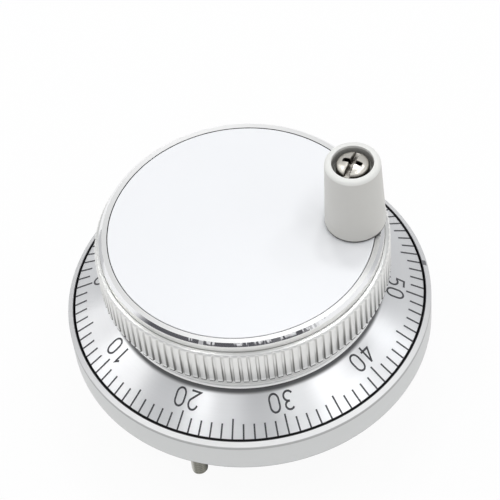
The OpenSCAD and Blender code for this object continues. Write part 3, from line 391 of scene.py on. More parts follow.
dialLook = {
    "colour": (0.90, 0.905, 0.915), "metallic": 1.0, "roughness": 0.36, "roughSpread": 0.06,
    "anisotropy": 0.9, "spacing": 0.00022, "lineTone": 0.05, "lineDepth": 0.000002,
    "masks": [
        # painted shade on the dial's upright edge down in the gap, and painted shade on the cone under the
        # knob's bead
        {"radius": (dialR - 0.05, dialR + 1), "height": (0, rimZ + 1), "colour": (0.05, 0.05, 0.052),
         "roughness": 0.6},
        {"radius": (landR - 2, landR - 0.28), "height": (seatZ - 1.5, seatZ + 1), "colour": (0.2, 0.2, 0.205),
         "roughness": 0.5, "soft": 0.4},
    ],
}
flangeLook = {
    "colour": (0.70, 0.706, 0.70), "metallic": 0.3, "roughness": 0.48, "roughSpread": 0.06, "anisotropy": 0.0,
    "spacing": 0.0004, "lineTone": 0.03, "lineDepth": 0.000002,
    "masks": [
        # the sloping lip, with a painted sheen that makes it brighter on one side than away from it, and
        # painted shade in the gap between the lip and the dial
        {"radius": (dialR + 0.5, flangeR - 0.1), "height": (rimZ - 0.85, rimZ + 0.1),
         "colour": (0.985, 0.985, 0.98), "roughness": 0.5, "metallic": 0.0,
         "facing": 356, "away": (0.64, 0.64, 0.645)},
        {"radius": (dialR - 20, dialR + 0.58), "height": (3, rimZ + 0.1), "colour": (0.085, 0.085, 0.09),
         "roughness": 0.6, "soft": 0.03},
        # grey lines at the lip's outer edge and along the wall's foot
        {"radius": (flangeR - 0.2, flangeR + 0.1), "height": (rimZ - 1.45, rimZ - 0.75),
         "colour": (0.46, 0.46, 0.46), "roughness": 0.5, "soft": 0.12},
        {"radius": (flangeR - 0.3, flangeR + 0.1), "height": (-0.1, 0.3), "colour": (0.38, 0.38, 0.38),
         "roughness": 0.5, "soft": 0.05},
    ],
}
knobLook = {
    "colour": (0.84, 0.84, 0.825), "metallic": 1.0, "roughness": 0.34, "roughSpread": 0.08, "anisotropy": 0.5,
    "spacing": 0.0003, "lineTone": 0.03, "lineDepth": 0.000002,
    "masks": [
        # the flat round the plate and the polished bevel; painted shade in the gap round the plate and in the
        # crease under the land
        {"radius": (landR - 1.9, landR - 0.72), "height": (bezelZ - 0.03, bezelZ + 0.05),
         "colour": (0.70, 0.70, 0.695), "roughness": 0.42},
        {"radius": (landR - 0.75, landR + 0.05), "height": (bezelZ - 0.62, bezelZ - 0.02),
         "colour": (0.9, 0.9, 0.91), "roughness": 0.07},
        {"radius": (landR - 2.2, landR - 1.77), "height": (plateZ - 1, bezelZ + 0.05),
         "colour": (0.012, 0.012, 0.013), "roughness": 0.6, "soft": 0.03},
        {"radius": (landR - 0.1, landR + 0.12), "height": (knurlTopZ - 0.02, knurlTopZ + 0.12),
         "colour": (0.4, 0.4, 0.39), "roughness": 0.5},
        # painted shade on the knurl's groove walls and floors, darker downwards
        {"radius": (knurlR - 0.43, knurlR - 0.05), "height": (knurlFootZ, knurlTopZ - 0.6),
         "colour": (0.26, 0.26, 0.25), "roughness": 0.5, "strength": (0.85, 0.0)},
        {"radius": (knurlR - 0.7, knurlR - 0.43), "height": (knurlFootZ - 0.2, knurlTopZ - 0.6),
         "colour": (0.42, 0.42, 0.41), "roughness": 0.5, "strength": (0.9, -0.6)},
        # painted highlights on the ridges' lower ends, painted shade along their lower edges, and painted
        # shade on the neck under them
        {"radius": (knurlR - 0.06, knurlR + 0.1), "height": (knurlFootZ + 0.35, knurlFootZ + 0.95),
         "colour": (0.97, 0.97, 0.96), "roughness": 0.4, "soft": 0.06},
        {"radius": (knurlR - 0.4, knurlR + 0.1), "height": (knurlFootZ - 0.1, knurlFootZ + 0.3),
         "colour": (0.06, 0.06, 0.06), "roughness": 0.6, "soft": 0.05},
        {"radius": (landR - 1.3, landR - 0.9), "height": (seatZ + 1.1, knurlFootZ),
         "colour": (0.5, 0.5, 0.49), "roughness": 0.5, "soft": 0.1, "strength": (0.25, 1)},
        # a painted highlight on the bead under the neck
        {"radius": (landR - 1.3, landR - 0.3), "height": (seatZ + 0.2, seatZ + 1.1),
         "colour": (1, 1, 0.99), "roughness": 0.42},
    ],
}


def satinPlastic(name, look):
    # moulded plastic or lacquer: one colour with faint marks, and a fine grain in its bump
    material, tree, shader, place = newMaterial(name, look["colour"], 0.0, look["roughness"])
    grain = useGroup(tree, fineGrain, Vector=place, Size=look["grain"])
    tone = spreadAbout(tree, grain["Marks"], 1, look["tone"])
    tree.links.new(scaledColour(tree, look["colour"], tone), shader.inputs["Base Color"])
    rough = spreadAbout(tree, grain["Marks"], look["roughness"], look["roughSpread"])
    tree.links.new(rough, shader.inputs["Roughness"])
    tree.links.new(bumpFrom(tree, grain["Grain"], look["depth"]), shader.inputs["Normal"])
    return material


# tarnish: its colour as a share of the clean metal's, and the noise values between which it sets in
tarnished = {"tone": 0.55, "patches": (0.45, 0.75)}


def plainMetal(name, look):
    # small metal parts: fine lines, a little tarnish in patches
    material, tree, shader, place = newMaterial(name, look["colour"], 1.0, look["roughness"])
    lines = useGroup(tree, turnedLines, Vector=place, Spacing=look["spacing"])
    tarnish = rampValue(tree, lines["Patches"], 0, look["tarnish"], *tarnished["patches"])
    dull = tuple(tarnished["tone"] * c for c in look["colour"])
    tree.links.new(mixColour(tree, tarnish, (*look["colour"], 1), (*dull, 1)), shader.inputs["Base Color"])
    rough = spreadAbout(tree, lines["Lines"], look["roughness"], look["roughSpread"])
    tree.links.new(rough, shader.inputs["Roughness"])
    tree.links.new(bumpFrom(tree, lines["Lines"], look["lineDepth"]), shader.inputs["Normal"])
    return material


# spacing, grain and depths in metres
metalLooks = {
    "stud_steel": {"colour": (0.36, 0.352, 0.305), "roughness": 0.36, "roughSpread": 0.15, "spacing": 0.0002,
                   "tarnish": 0.4, "lineDepth": 0.000004},
    "screw_steel": {"colour": (0.72, 0.71, 0.68), "roughness": 0.25, "roughSpread": 0.12, "spacing": 0.0002,
                    "tarnish": 0.2, "lineDepth": 0.000003},
    "terminal_brass": {"colour": (0.83, 0.70, 0.40), "roughness": 0.3, "roughSpread": 0.15, "spacing": 0.0003,
                       "tarnish": 0.3, "lineDepth": 0.000003},
    "washer_steel": {"colour": (0.74, 0.73, 0.70), "roughness": 0.28, "roughSpread": 0.12, "spacing": 0.0002,
                     "tarnish": 0.2, "lineDepth": 0.000003},
    "yoke_steel": {"colour": (0.42, 0.43, 0.45), "roughness": 0.38, "roughSpread": 0.15, "spacing": 0.0003,
                   "tarnish": 0.3, "lineDepth": 0.000004},
    "bearing_steel": {"colour": (0.75, 0.76, 0.78), "roughness": 0.14, "roughSpread": 0.06, "spacing": 0.0002,
                      "tarnish": 0.1, "lineDepth": 0.000001},
    "cage_brass": {"colour": (0.80, 0.67, 0.38), "roughness": 0.3, "roughSpread": 0.12, "spacing": 0.0003,
                   "tarnish": 0.3, "lineDepth": 0.000003},
    "shaft_steel": {"colour": (0.60, 0.61, 0.63), "roughness": 0.24, "roughSpread": 0.12, "spacing": 0.0003,
                    "tarnish": 0.1, "lineDepth": 0.000003},
    "disc_steel": {"colour": (0.55, 0.56, 0.58), "roughness": 0.3, "roughSpread": 0.1, "spacing": 0.0004,
                   "tarnish": 0.1, "lineDepth": 0.000001},
    "handle_nickel": {"colour": (0.74, 0.712, 0.65), "roughness": 0.3, "roughSpread": 0.08, "spacing": 0.0004,
                      "tarnish": 0.15, "lineDepth": 0.000001},
}
plasticLooks = {
    "mark_paint": {"colour": (0.055, 0.055, 0.062), "roughness": 0.45, "roughSpread": 0.1, "grain": 0.0001,
                   "tone": 0.3, "depth": 0.000002},
    "case_plastic": {"colour": (0.030, 0.030, 0.032), "roughness": 0.5, "roughSpread": 0.12, "grain": 0.0002,
                     "tone": 0.3, "depth": 0.000012},
    "terminal_plastic": {"colour": (0.024, 0.024, 0.025), "roughness": 0.42, "roughSpread": 0.1,
                         "grain": 0.00016, "tone": 0.3, "depth": 0.00001},
    "board_laminate": {"colour": (0.02, 0.17, 0.07), "roughness": 0.32, "roughSpread": 0.1, "grain": 0.0005,
                       "tone": 0.3, "depth": 0.000006},
    "chip_plastic": {"colour": (0.028, 0.028, 0.030), "roughness": 0.55, "roughSpread": 0.1, "grain": 0.0001,
                     "tone": 0.2, "depth": 0.000006},
    "passive_ceramic": {"colour": (0.50, 0.40, 0.27), "roughness": 0.5, "roughSpread": 0.1, "grain": 0.0001,
                        "tone": 0.2, "depth": 0.000004},
    "sensor_plastic": {"colour": (0.03, 0.03, 0.04), "roughness": 0.15, "roughSpread": 0.05, "grain": 0.0002,
                       "tone": 0.1, "depth": 0.000002},
    "emitter_lens": {"colour": (0.50, 0.58, 0.72), "roughness": 0.1, "roughSpread": 0.04, "grain": 0.0004,
                     "tone": 0.1, "depth": 0.000002},
    "magnet_ferrite": {"colour": (0.09, 0.09, 0.10), "roughness": 0.6, "roughSpread": 0.1, "grain": 0.0001,
                       "tone": 0.3, "depth": 0.00001},
    "plate_white": {"colour": (0.90, 0.908, 0.925), "roughness": 0.38, "roughSpread": 0.06,
                    "grain": 0.00012, "tone": 0.012, "depth": 0.000002},
    "grip_plastic": {"colour": (0.655, 0.645, 0.612), "roughness": 0.42, "roughSpread": 0.08,
                     "grain": 0.00012, "tone": 0.05, "depth": 0.000006},
}

finishes = {slot: plainMetal(slot, look) for slot, look in metalLooks.items()}
finishes.update({slot: satinPlastic(slot, look) for slot, look in plasticLooks.items()})


def baseColour(material):
    # a material's tree, its base colour's input, and what feeds that now
    tree = material.node_tree
    base = tree.nodes["Principled BSDF"].inputs["Base Color"]
    return tree, base, base.links[0].from_socket


def tintInside(material, tint):
    # colours what lies between two distances from an upright axis and two heights, such as a recess's wall
    tree, base, colour = baseColour(material)
    place = addNode(tree, "ShaderNodeTexCoord").outputs["Object"]
    centre = tint.get("centre", (0, 0))
    moved = vectorCalc(tree, "SUBTRACT", place, (centre[0] * mm, centre[1] * mm, 0))
    inside = bandMask(tree, useGroup(tree, radiusHeight, Vector=moved), tint)
    tree.links.new(mixColour(tree, inside, colour, (*tint["colour"], 1)), base)


def tintCorners(material, tint):
    # colours the corners that light hardly reaches, such as the bottom of a screw's recess
    tree, base, colour = baseColour(material)
    clear = addNode(tree, "ShaderNodeAmbientOcclusion", {"Distance": tint["reach"] * mm}, samples=8)
    inside = rampValue(tree, clear.outputs["AO"], 1, 0, *tint["clear"])
    tree.links.new(mixColour(tree, inside, colour, (*tint["colour"], 1)), base)


def paintSideReflection(material, tint):
    # painted reflection: darker where the surface faces +y and paler where it faces -y
    tree, base, colour = baseColour(material)
    normal = addNode(tree, "ShaderNodeNewGeometry").outputs["Normal"]
    side = addNode(tree, "ShaderNodeSeparateXYZ", {0: normal}).outputs[1]
    darker = mixColour(tree, rampValue(tree, side, 0, 1, *tint["darkFrom"]), colour, (*tint["dark"], 1))
    pale = rampValue(tree, side, 1, 0, *tint["paleUpTo"])
    tree.links.new(mixColour(tree, pale, darker, (*tint["pale"], 1)), base)


# the index mark; painted shade in the grip's recess, a painted highlight on its top rim and a painted shadow
# at its foot; painted shade on the washer down in the recess
tints = [
    ("mark_paint", {"radius": (dialR + 0.3, flangeR + 1), "height": (-1, rimZ + 1),
                    "colour": (0.17, 0.17, 0.18), "soft": 0.05}),
    ("grip_plastic", {"centre": handle, "radius": (-1, 4.45), "height": (gripTop[2] - 3.2, gripTop[2] - 0.3),
                      "colour": (0.42, 0.415, 0.39), "soft": 0.12}),
    ("grip_plastic", {"centre": handle, "radius": (-1, 7), "height": (gripTop[2] - 0.7, gripTop[2] + 0.3),
                      "colour": (0.83, 0.83, 0.8), "soft": 0.2}),
    ("grip_plastic", {"centre": handle, "radius": (-1, 7), "height": (gripFoot[2] - 0.5, gripFoot[2] + 0.42),
                      "colour": (0.05, 0.05, 0.045), "soft": 0.08}),
    ("washer_steel", {"centre": handle, "radius": (-1, 4.2), "soft": 0.05, "colour": (0.16, 0.16, 0.15),
                      "height": (washerFoot[2] - 0.2, washerTop[2] + 0.2)}),
]
for slot, tint in tints:
    tintInside(finishes[slot], tint)
# reach: how far off a corner's walls may stand; clear: how open it may be for all and for none of the tint
tintCorners(finishes["handle_nickel"], {"reach": 1.4, "clear": (0.5, 0.9), "colour": (0.05, 0.042, 0.035)})
tintCorners(finishes["stud_steel"], {"reach": 0.5, "clear": (0.5, 0.9), "colour": (0.03, 0.03, 0.025)})
paintSideReflection(finishes["stud_steel"], {"dark": (0.05, 0.048, 0.042), "darkFrom": (0.2, 0.95),
                                   "pale": (0.62, 0.61, 0.57), "paleUpTo": (-0.8, -0.45)})
spunLooks = {"dial_aluminium": dialLook, "flange_aluminium": flangeLook, "knob_aluminium": knobLook}
finishes.update({slot: spunAluminium(slot, look) for slot, look in spunLooks.items()})
for node, obj in frame["nodes"].items():
    obj.data.materials.clear()
    obj.data.materials.append(finishes[slotOfNode[node]])
print("materials made:", len(finishes))

# mesh helpers

def gridFaces(rows, cols, wrapRows, wrapCols):
    # quads between neighbouring rows and columns of a grid of points
    i = np.arange(rows if wrapRows else rows - 1)
    j = np.arange(cols if wrapCols else cols - 1)
    i, j = np.meshgrid(i, j, indexing="ij")
    nextI, nextJ = (i + 1) % rows, (j + 1) % cols
    corners = (i * cols + j, nextI * cols + j, nextI * cols + nextJ, i * cols + nextJ)
    return np.stack(corners, axis=-1).reshape(-1, 4)


def pieceName(node):
    # handle_grip becomes handleGrip
    first, *rest = node.split("_")
    return first + "".join(word.capitalize() for word in rest)


def addPiece(node, grids, sharp=32):
    # one mesh from grids of points in millimetres, given as (points, wrapRows, wrapCols); it stands for node
    points, faces, first = [], [], 0
    for grid, wrapRows, wrapCols in grids:
        rows, cols = grid.shape[:2]
        points.append(grid.reshape(-1, 3) * mm)
        faces.append(gridFaces(rows, cols, wrapRows, wrapCols) + first)
        first += rows * cols
    mesh = bpy.data.meshes.new(pieceName(node))
    mesh.from_pydata(np.concatenate(points), [], np.concatenate(faces).tolist())
    work = bmesh.new()
    work.from_mesh(mesh)
    bmesh.ops.remove_doubles(work, verts=work.verts, dist=1e-7)
    bmesh.ops.recalc_face_normals(work, faces=work.faces)
    work.to_mesh(mesh)
    work.free()
    dressPiece(node, mesh, sharp)


def dressPiece(node, mesh, sharp):
    mesh.materials.clear()
    mesh.materials.append(finishes[slotOfNode[node]])
    mesh.shade_smooth()
    mesh.set_sharp_from_angle(angle=math.radians(sharp))
    piece = bpy.data.objects.new(pieceName(node), mesh)
    bpy.context.scene.collection.objects.link(piece)
    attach(piece, bodyOfNode[node])
    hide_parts(node)
    return piece


refine = {"mergeWithin": 1e-6, "flatWithin": 0.5, "sharp": 32, "breakFrom": 40, "segments": 2}


def refineNode(node, broken):
    # the CAD solid again with its points merged, round faces smooth and its sharp edges broken
    mesh = frame["nodes"][node].data.copy()
    work = bmesh.new()
    work.from_mesh(mesh)
    bmesh.ops.remove_doubles(work, verts=work.verts, dist=refine["mergeWithin"])
    bmesh.ops.dissolve_limit(work, angle_limit=math.radians(refine["flatWithin"]), verts=work.verts,
                             edges=work.edges)
    work.to_mesh(mesh)
    work.free()
    cut = dressPiece(node, mesh, refine["sharp"]).modifiers.new("brokenEdges", "BEVEL")
    cut.width = broken * mm
    cut.segments = refine["segments"]
    cut.limit_method = "ANGLE"
    cut.angle_limit = math.radians(refine["breakFrom"])


def roundedProfile(corners, closed=True, steps=5):
    # a line through corners (r, z, rounding) in which each corner is a short quadratic curve: a point moves
    # from the tangent point before the corner to the one after it, drawn towards the corner in between
    line = []
    count = len(corners)
    t = np.linspace(0, 1, steps)[:, None]
    for i, (r, z, rounding) in enumerate(corners):
        here = np.array((r, z), float)
        if rounding == 0 or (not closed and i in (0, count - 1)):
            line.append(here[None])
            continue
        before = np.array(corners[i - 1][:2], float) - here
        after = np.array(corners[(i + 1) % count][:2], float) - here
        reach = min(rounding, 0.49 * np.linalg.norm(before), 0.49 * np.linalg.norm(after))
        start = here + before / np.linalg.norm(before) * reach
        end = here + after / np.linalg.norm(after) * reach
        line.append((1 - t) ** 2 * start + 2 * t * (1 - t) * here + t ** 2 * end)
    return np.concatenate(line)


def revolve(profile, segments, centre=(0, 0)):
    # carries a line of (r, z) round the axis: x = r cos a, y = r sin a
    angle = np.arange(segments) * 2 * math.pi / segments
    r, z = profile[:, 0:1], profile[:, 1:2]
    return np.stack((centre[0] + r * np.cos(angle), centre[1] + r * np.sin(angle),
                     np.broadcast_to(z, (len(profile), segments))), axis=-1)


dial = {"coneInner": 28.15, "thickness": 1.2, "bore": 5.02, "segments": 400,
        "boreRound": 0.1, "rimRound": 0.12, "footRound": 0.15, "underRound": 0.3}


def makeDial():
    # a cone between its seat under the knob and its rim, with an upright edge
    low = dialFoot[2]
    under = seatZ - dial["thickness"]
    corners = [
        (dial["bore"], seatZ, dial["boreRound"]), (dial["coneInner"], seatZ, dial["boreRound"]),
        (dialR, rimZ, dial["rimRound"]), (dialR, low, dial["footRound"]),
        (dialR - dial["thickness"], low, dial["footRound"]),
        (dial["coneInner"] - dial["thickness"] / 2, under, dial["underRound"]),
        (dial["bore"], under, dial["boreRound"]),
    ]
    addPiece("dial_ring", [(revolve(roundedProfile(corners), dial["segments"]), True, True)])


flange = {
    "rimWall": 1.2, "lipDrop": 0.75, "lipCurve": 0.2, "lipEnds": (0.06, 0.97), "lipSteps": 9,
    "outerEdge": 0.06, "innerEdge": 0.05, "footRound": 0.25, "stepRound": 0.05, "towerRound": 0.2,
    "towerFootRound": 0.3, "wallFootRound": 0.4,
    "plate": 3.4, "relief": 0.3, "reliefR": 31.0, "towerR": 12.5, "seatR": 9.52, "shoulderR": 8.5,
    "bearing": 5.0, "spacing": 2.0, "towerTop": 8.444, "segments": 400,
}


def makeFlange():
    # the lip is a shallow arc that falls from the rim's inner corner to its outer edge
    inner = flangeR - flange["rimWall"]
    t = np.linspace(*flange["lipEnds"], flange["lipSteps"])
    fallen = (1 - flange["lipCurve"]) * t + flange["lipCurve"] * t ** 2
    lip = np.stack((inner + flange["rimWall"] * t, rimZ - flange["lipDrop"] * fallen), axis=-1)
    wallTop = rimZ - flange["lipDrop"] - flange["outerEdge"]
    top = flange["towerTop"]                # two bearing seats, with a shoulder between them
    middle = top - flange["bearing"]
    low = middle - flange["spacing"]
    foot = low - flange["bearing"]
    tower, seat, shoulder = flange["towerR"], flange["seatR"], flange["shoulderR"]
    soft, step = flange["towerRound"], flange["stepRound"]
    outer = [(flangeR, wallTop, 0), (flangeR, 0, flange["footRound"]), (flange["reliefR"], 0, step),
             (flange["reliefR"], flange["relief"], step), (tower, flange["relief"], soft),
             (tower, foot, soft), (seat, foot, soft), (seat, low, step), (shoulder, low, step),
             (shoulder, middle, step), (seat, middle, step), (seat, top, soft), (tower, top, soft),
             (tower, flange["plate"], flange["towerFootRound"]),
             (inner, flange["plate"], flange["wallFootRound"]), (inner, rimZ - flange["innerEdge"], 0)]
    profile = np.concatenate((lip, roundedProfile(outer, closed=False)))
    addPiece("flange_housing", [(revolve(profile, flange["segments"]), True, True)])


knob = {
    "bezelOut": 29.6, "bezelIn": 28.45, "seatRound": 0.05, "bezelInRound": 0.06, "bezelOutRound": 0.04,
    "bevelEdge": (0.02, 0.015),         # how far the bevel's edges keep from its corners, along r and z
    "edge": 0.03, "footEdge": 0.12,     # broken edges of the land and at the knurl's foot
    "neckIn": 1.1, "neckStart": 0.1, "bead": 0.5, "beadTurn": (80, -90), "beadSteps": 12,
    "wall": 3.0, "roof": 3.0, "bossR": 12.0, "bore": 5.02, "boreDepth": 3.5,
    "innerRound": 0.1, "cavityRound": 0.5, "footFlat": 0.2,
    "ridges": 110, "firstRidge": 1.3, "knurlDepth": 0.5, "round": 0.9, "shoulderSteps": 10,
    "shaftStart": 1.6,                  # the ridges run straight from this far below the knurl's top
    "runoutStart": 0.15, "runout": 0.9, # the cut begins this far below that top and deepens over this height
    # the bevel's short flats: the greatest waver, the shortest and longest cut as shares of a turn, and how
    # many are drawn; the middle of the calm and the busy stretch, the length over which each fades, half of
    # its own length counted in such lengths, and what part of the waver the rest of the bevel loses
    "waver": 0.09, "cut": (0.0014, 0.006), "cuts": 500,
    "calm": 0.873, "calmFade": 0.004, "calmHalf": 9.5,
    "busy": 0.99, "busyFade": 0.01, "busyHalf": 7.5, "quiet": 0.97,
}
# places across one knurl pitch, from the middle of a ridge to the middle of the next, and the share of the
# knurl's depth there
ridgePhases = np.array((0, 0.25, 0.28, 0.30, 0.37, 0.39, 0.5, 0.61, 0.63, 0.70, 0.72, 0.75))
ridgeDepths = np.array((0, 0, 0.04, 0.16, 0.84, 0.96, 1, 0.96, 0.84, 0.16, 0.04, 0))


def makeKnob():
    # a line of (r, z), and for each of its points how deep the knurl cuts and how far the bevel wavers there
    top = bezelZ
    bevelFoot = top - shared["bevel"]
    neckR = landR - knob["neckIn"]
    cavityR = landR - knob["wall"]
    roofZ = plateZ - knob["roof"]
    boreTop = seatZ + knob["boreDepth"]
    inward, down = knob["bevelEdge"]
    edge, footEdge = knob["edge"], knob["footEdge"]
    upper = roundedProfile([
        (0, plateZ, 0), (knob["bezelIn"], plateZ, knob["seatRound"]),
        (knob["bezelIn"], top, knob["bezelInRound"]), (knob["bezelOut"], top, knob["bezelOutRound"])],
        closed=False, steps=2)
    bevel = np.array([(knob["bezelOut"] + inward, top - down), (landR - inward, bevelFoot + down)])
    land = np.array([(landR, bevelFoot - edge), (landR, knurlTopZ + edge)])
    t = np.radians(np.linspace(0, 90, knob["shoulderSteps"]))
    curve = knob["round"]
    shoulder = np.stack((knurlR - curve * (1 - np.sin(t)), knurlTopZ - curve * (1 - np.cos(t))), axis=-1)
    shoulder = np.concatenate(([(landR + edge, knurlTopZ)], shoulder))
    shaft = np.array([(knurlR, knurlTopZ - knob["shaftStart"]), (knurlR, (knurlTopZ + knurlFootZ) / 2),
                      (knurlR, knurlFootZ + footEdge), (knurlR - edge, knurlFootZ + edge),
                      (knurlR - footEdge, knurlFootZ)])
    turn = np.radians(np.linspace(*knob["beadTurn"], knob["beadSteps"]))
    bead = np.stack((neckR + knob["bead"] * np.cos(turn), seatZ + knob["bead"] * (1 + np.sin(turn))), axis=-1)
    neck = np.array([(neckR, knurlFootZ), (neckR, seatZ + 2 * knob["bead"] + knob["neckStart"])])
    inner = roundedProfile([
        (cavityR, seatZ, knob["innerRound"]), (cavityR, roofZ, knob["cavityRound"]),
        (knob["bossR"], roofZ, knob["cavityRound"]), (knob["bossR"], seatZ, knob["innerRound"]),
        (knob["bore"], seatZ, knob["innerRound"]), (knob["bore"], boreTop, knob["innerRound"]),
        (0, boreTop, 0)], closed=False, steps=3)
    inner = np.concatenate(([(cavityR + knob["footFlat"], seatZ)], inner))
    line = np.concatenate((upper, bevel, land, shoulder, shaft, neck, bead, inner))
    knurled = np.zeros(len(line))
    first = len(upper) + len(bevel) + len(land)
    rows = slice(first, first + len(shoulder) + len(shaft))
    knurled[rows] = np.clip((knurlTopZ - knob["runoutStart"] - line[rows, 1]) / knob["runout"], 0, 1)
    wavers = np.zeros(len(line))
    wavers[len(upper)] = 1                  # the bevel's upper edge
    phase = (np.arange(knob["ridges"])[:, None] + ridgePhases[None]).ravel() / knob["ridges"]
    depth = np.tile(ridgeDepths, knob["ridges"]) * knob["knurlDepth"]
    waver = bevelWaver(phase) * knob["waver"]
    angle = phase * 2 * math.pi + math.radians(knob["firstRidge"])
    radius = line[:, 0:1] - knurled[:, None] * depth[None]
    height = line[:, 1:2] + wavers[:, None] * waver[None]
    grid = np.stack((radius * np.cos(angle), radius * np.sin(angle), height), axis=-1)
    addPiece("knob_shell", [(grid, False, True)], sharp=21)


def bevelWaver(phase):
    # the bevel's cutter leaves short flats, each tilted a little on its own: steps of a random height, strong
    # along the busy stretch of the bevel, faint elsewhere and absent from the calm stretch
    draw = np.random.default_rng(7)
    cuts = np.cumsum(draw.uniform(*knob["cut"], knob["cuts"]))
    cuts = cuts[cuts < 1]
    tilt = -draw.uniform(0, 1, len(cuts) + 1) ** 3
    fromCalm = np.clip(turnsFrom(phase, knob["calm"]) / knob["calmFade"] - knob["calmHalf"], 0, 1)
    fromBusy = np.clip(turnsFrom(phase, knob["busy"]) / knob["busyFade"] - knob["busyHalf"], 0, 1)
    return tilt[np.searchsorted(cuts, phase)] * (fromCalm * (1 - knob["quiet"] * fromBusy))


def turnsFrom(phase, place):
    # the shorter way round between two places on a circle, both as shares of a turn
    return np.abs((phase - place + 0.5) % 1 - 0.5)


topPlate = {"footRound": 0.1, "round": 0.12, "segments": 256}


def makeTopPlate():
    # a flat disc with a rounded edge
    low, high = plateFoot[2], plateTop[2]
    corners = [(0, low, 0), (plateTop[0], low, topPlate["footRound"]), (plateTop[0], high, topPlate["round"]),
               (0, high, 0)]
    profile = roundedProfile(corners, closed=False)
    addPiece("top_plate", [(revolve(profile, topPlate["segments"]), False, True)])


grip = {"foot": 6.5, "topR": 5.85, "round": 0.9, "crownSteps": 10, "footRound": 0.3, "footEdge": 0.4,
        "recessR": 4.4, "recessDepth": 2.9, "recessEdge": 0.25, "recessRound": 0.22, "floorRound": 0.2,
        "bore": 3.05, "boreRound": 0.1, "segments": 160}


def makeGrip():
    # a tapered profile whose crown is a quarter circle, with a recess for the screw's head
    low, high = gripFoot[2], gripTop[2]
    floor = high - grip["recessDepth"]
    t = np.radians(np.linspace(0, 90, grip["crownSteps"]))
    curve = grip["round"]
    crown = np.stack((grip["topR"] - curve * (1 - np.cos(t)), high - curve * (1 - np.sin(t))), axis=-1)
    rest = roundedProfile([
        (grip["recessR"] + grip["recessEdge"], high, 0), (grip["recessR"], high, grip["recessRound"]),
        (grip["recessR"], floor, grip["floorRound"]), (grip["bore"], floor, grip["boreRound"]),
        (grip["bore"], low, grip["boreRound"]), (grip["foot"], low, grip["footRound"]),
        (grip["foot"], low + grip["footEdge"], 0)], closed=False)
    points = revolve(np.concatenate((crown, rest)), grip["segments"], handle)
    addPiece("handle_grip", [(points, True, True)], sharp=40)


screw = {
    "headR": 3.5, "headHeight": 2.6, "rimShare": 0.45, "shankR": 2.0, "segments": 240, "turn": 147.0,
    # rings on the head: how many on its inner part, that part's share of the radius, and the ones outside it
    "innerRings": 52, "innerShare": 0.78, "outerFrom": 53, "outerRings": 9,
    "cross": 2.1, "blade": 0.42, "bladeWall": 0.08, "rise": 0.45, "riseCurve": 0.6, "depth": 1.5,
    "slot": 0.6, "slotWall": 0.06, "slotDepth": 1.1,
    "headRound": 0.15, "neckRound": 0.1, "endRound": 0.4,
}


def makeHandleScrew():
    # the head is a low dome over (radius, angle); a cross is sunk in its middle and a slot right across it
    top = screwTop[2]
    foot = top - screw["headHeight"]
    rim = foot + screw["rimShare"] * screw["headHeight"]
    outer = np.radians(np.linspace(screw["outerFrom"], 90, screw["outerRings"]))
    r = np.concatenate((np.linspace(0, screw["innerShare"], screw["innerRings"]) * screw["headR"],
                        screw["headR"] * np.sin(outer)))[:, None]
    angle = (np.arange(screw["segments"]) * 2 * math.pi / screw["segments"])[None]
    dome = rim + (top - rim) * np.sqrt(np.clip(1 - (r / screw["headR"]) ** 2, 0, 1))
    turn = math.radians(screw["turn"])
    x, y = r * np.cos(angle - turn), r * np.sin(angle - turn)
    sunk = screw["depth"] * np.maximum(crossShape(x, y), crossShape(y, x))
    slot = screw["slotDepth"] * slopedWalls(screw["slot"], screw["slotWall"], y)
    height = np.maximum(dome - np.maximum(sunk, slot), rim)
    head = np.stack((handle[0] + r * np.cos(angle), handle[1] + r * np.sin(angle), height), axis=-1)
    low = screwFoot[2]
    under = roundedProfile([
        (screw["headR"], rim, 0), (screw["headR"], foot, screw["headRound"]),
        (screw["shankR"], foot, screw["neckRound"]), (screw["shankR"], low, screw["endRound"]),
        (0, low, 0)], closed=False)
    points = np.concatenate((head, revolve(under, screw["segments"], handle)))
    addPiece("handle_screw", [(points, False, True)], sharp=50)


def slopedWalls(half, wall, across):
    # 1 inside a groove of this half width and 0 outside it, with walls that slope over twice the wall's width
    return np.clip((half + wall - np.abs(across)) / (2 * wall), 0, 1)


def crossShape(along, across):
    # 1 on one blade of the cross and 0 off it; the blade's walls slope and its ends rise
    reach = np.clip((screw["cross"] - np.abs(along)) / (screw["rise"] * screw["cross"]), 0, 1)
    return slopedWalls(screw["blade"], screw["bladeWall"], across) * reach ** screw["riseCurve"]


stud = {
    "radius": 1.78, "pitch": 0.7, "circle": 36.0, "places": (91.6, 211.6, 331.6), "segments": 40,
    "cut": 0.613, "cutShare": 0.75,     # the thread's depth as a share of its pitch, and what part is cut
    "rowsPerTurn": 8, "tip": 0.5, "tipIn": 0.5,
    "threadTop": -0.2, "fadeFrom": -0.3, "fade": 0.5,       # the groove runs out under the panel face
    "collar": -0.1, "rootR": 2.3, "rootEdge": 0.05,
}


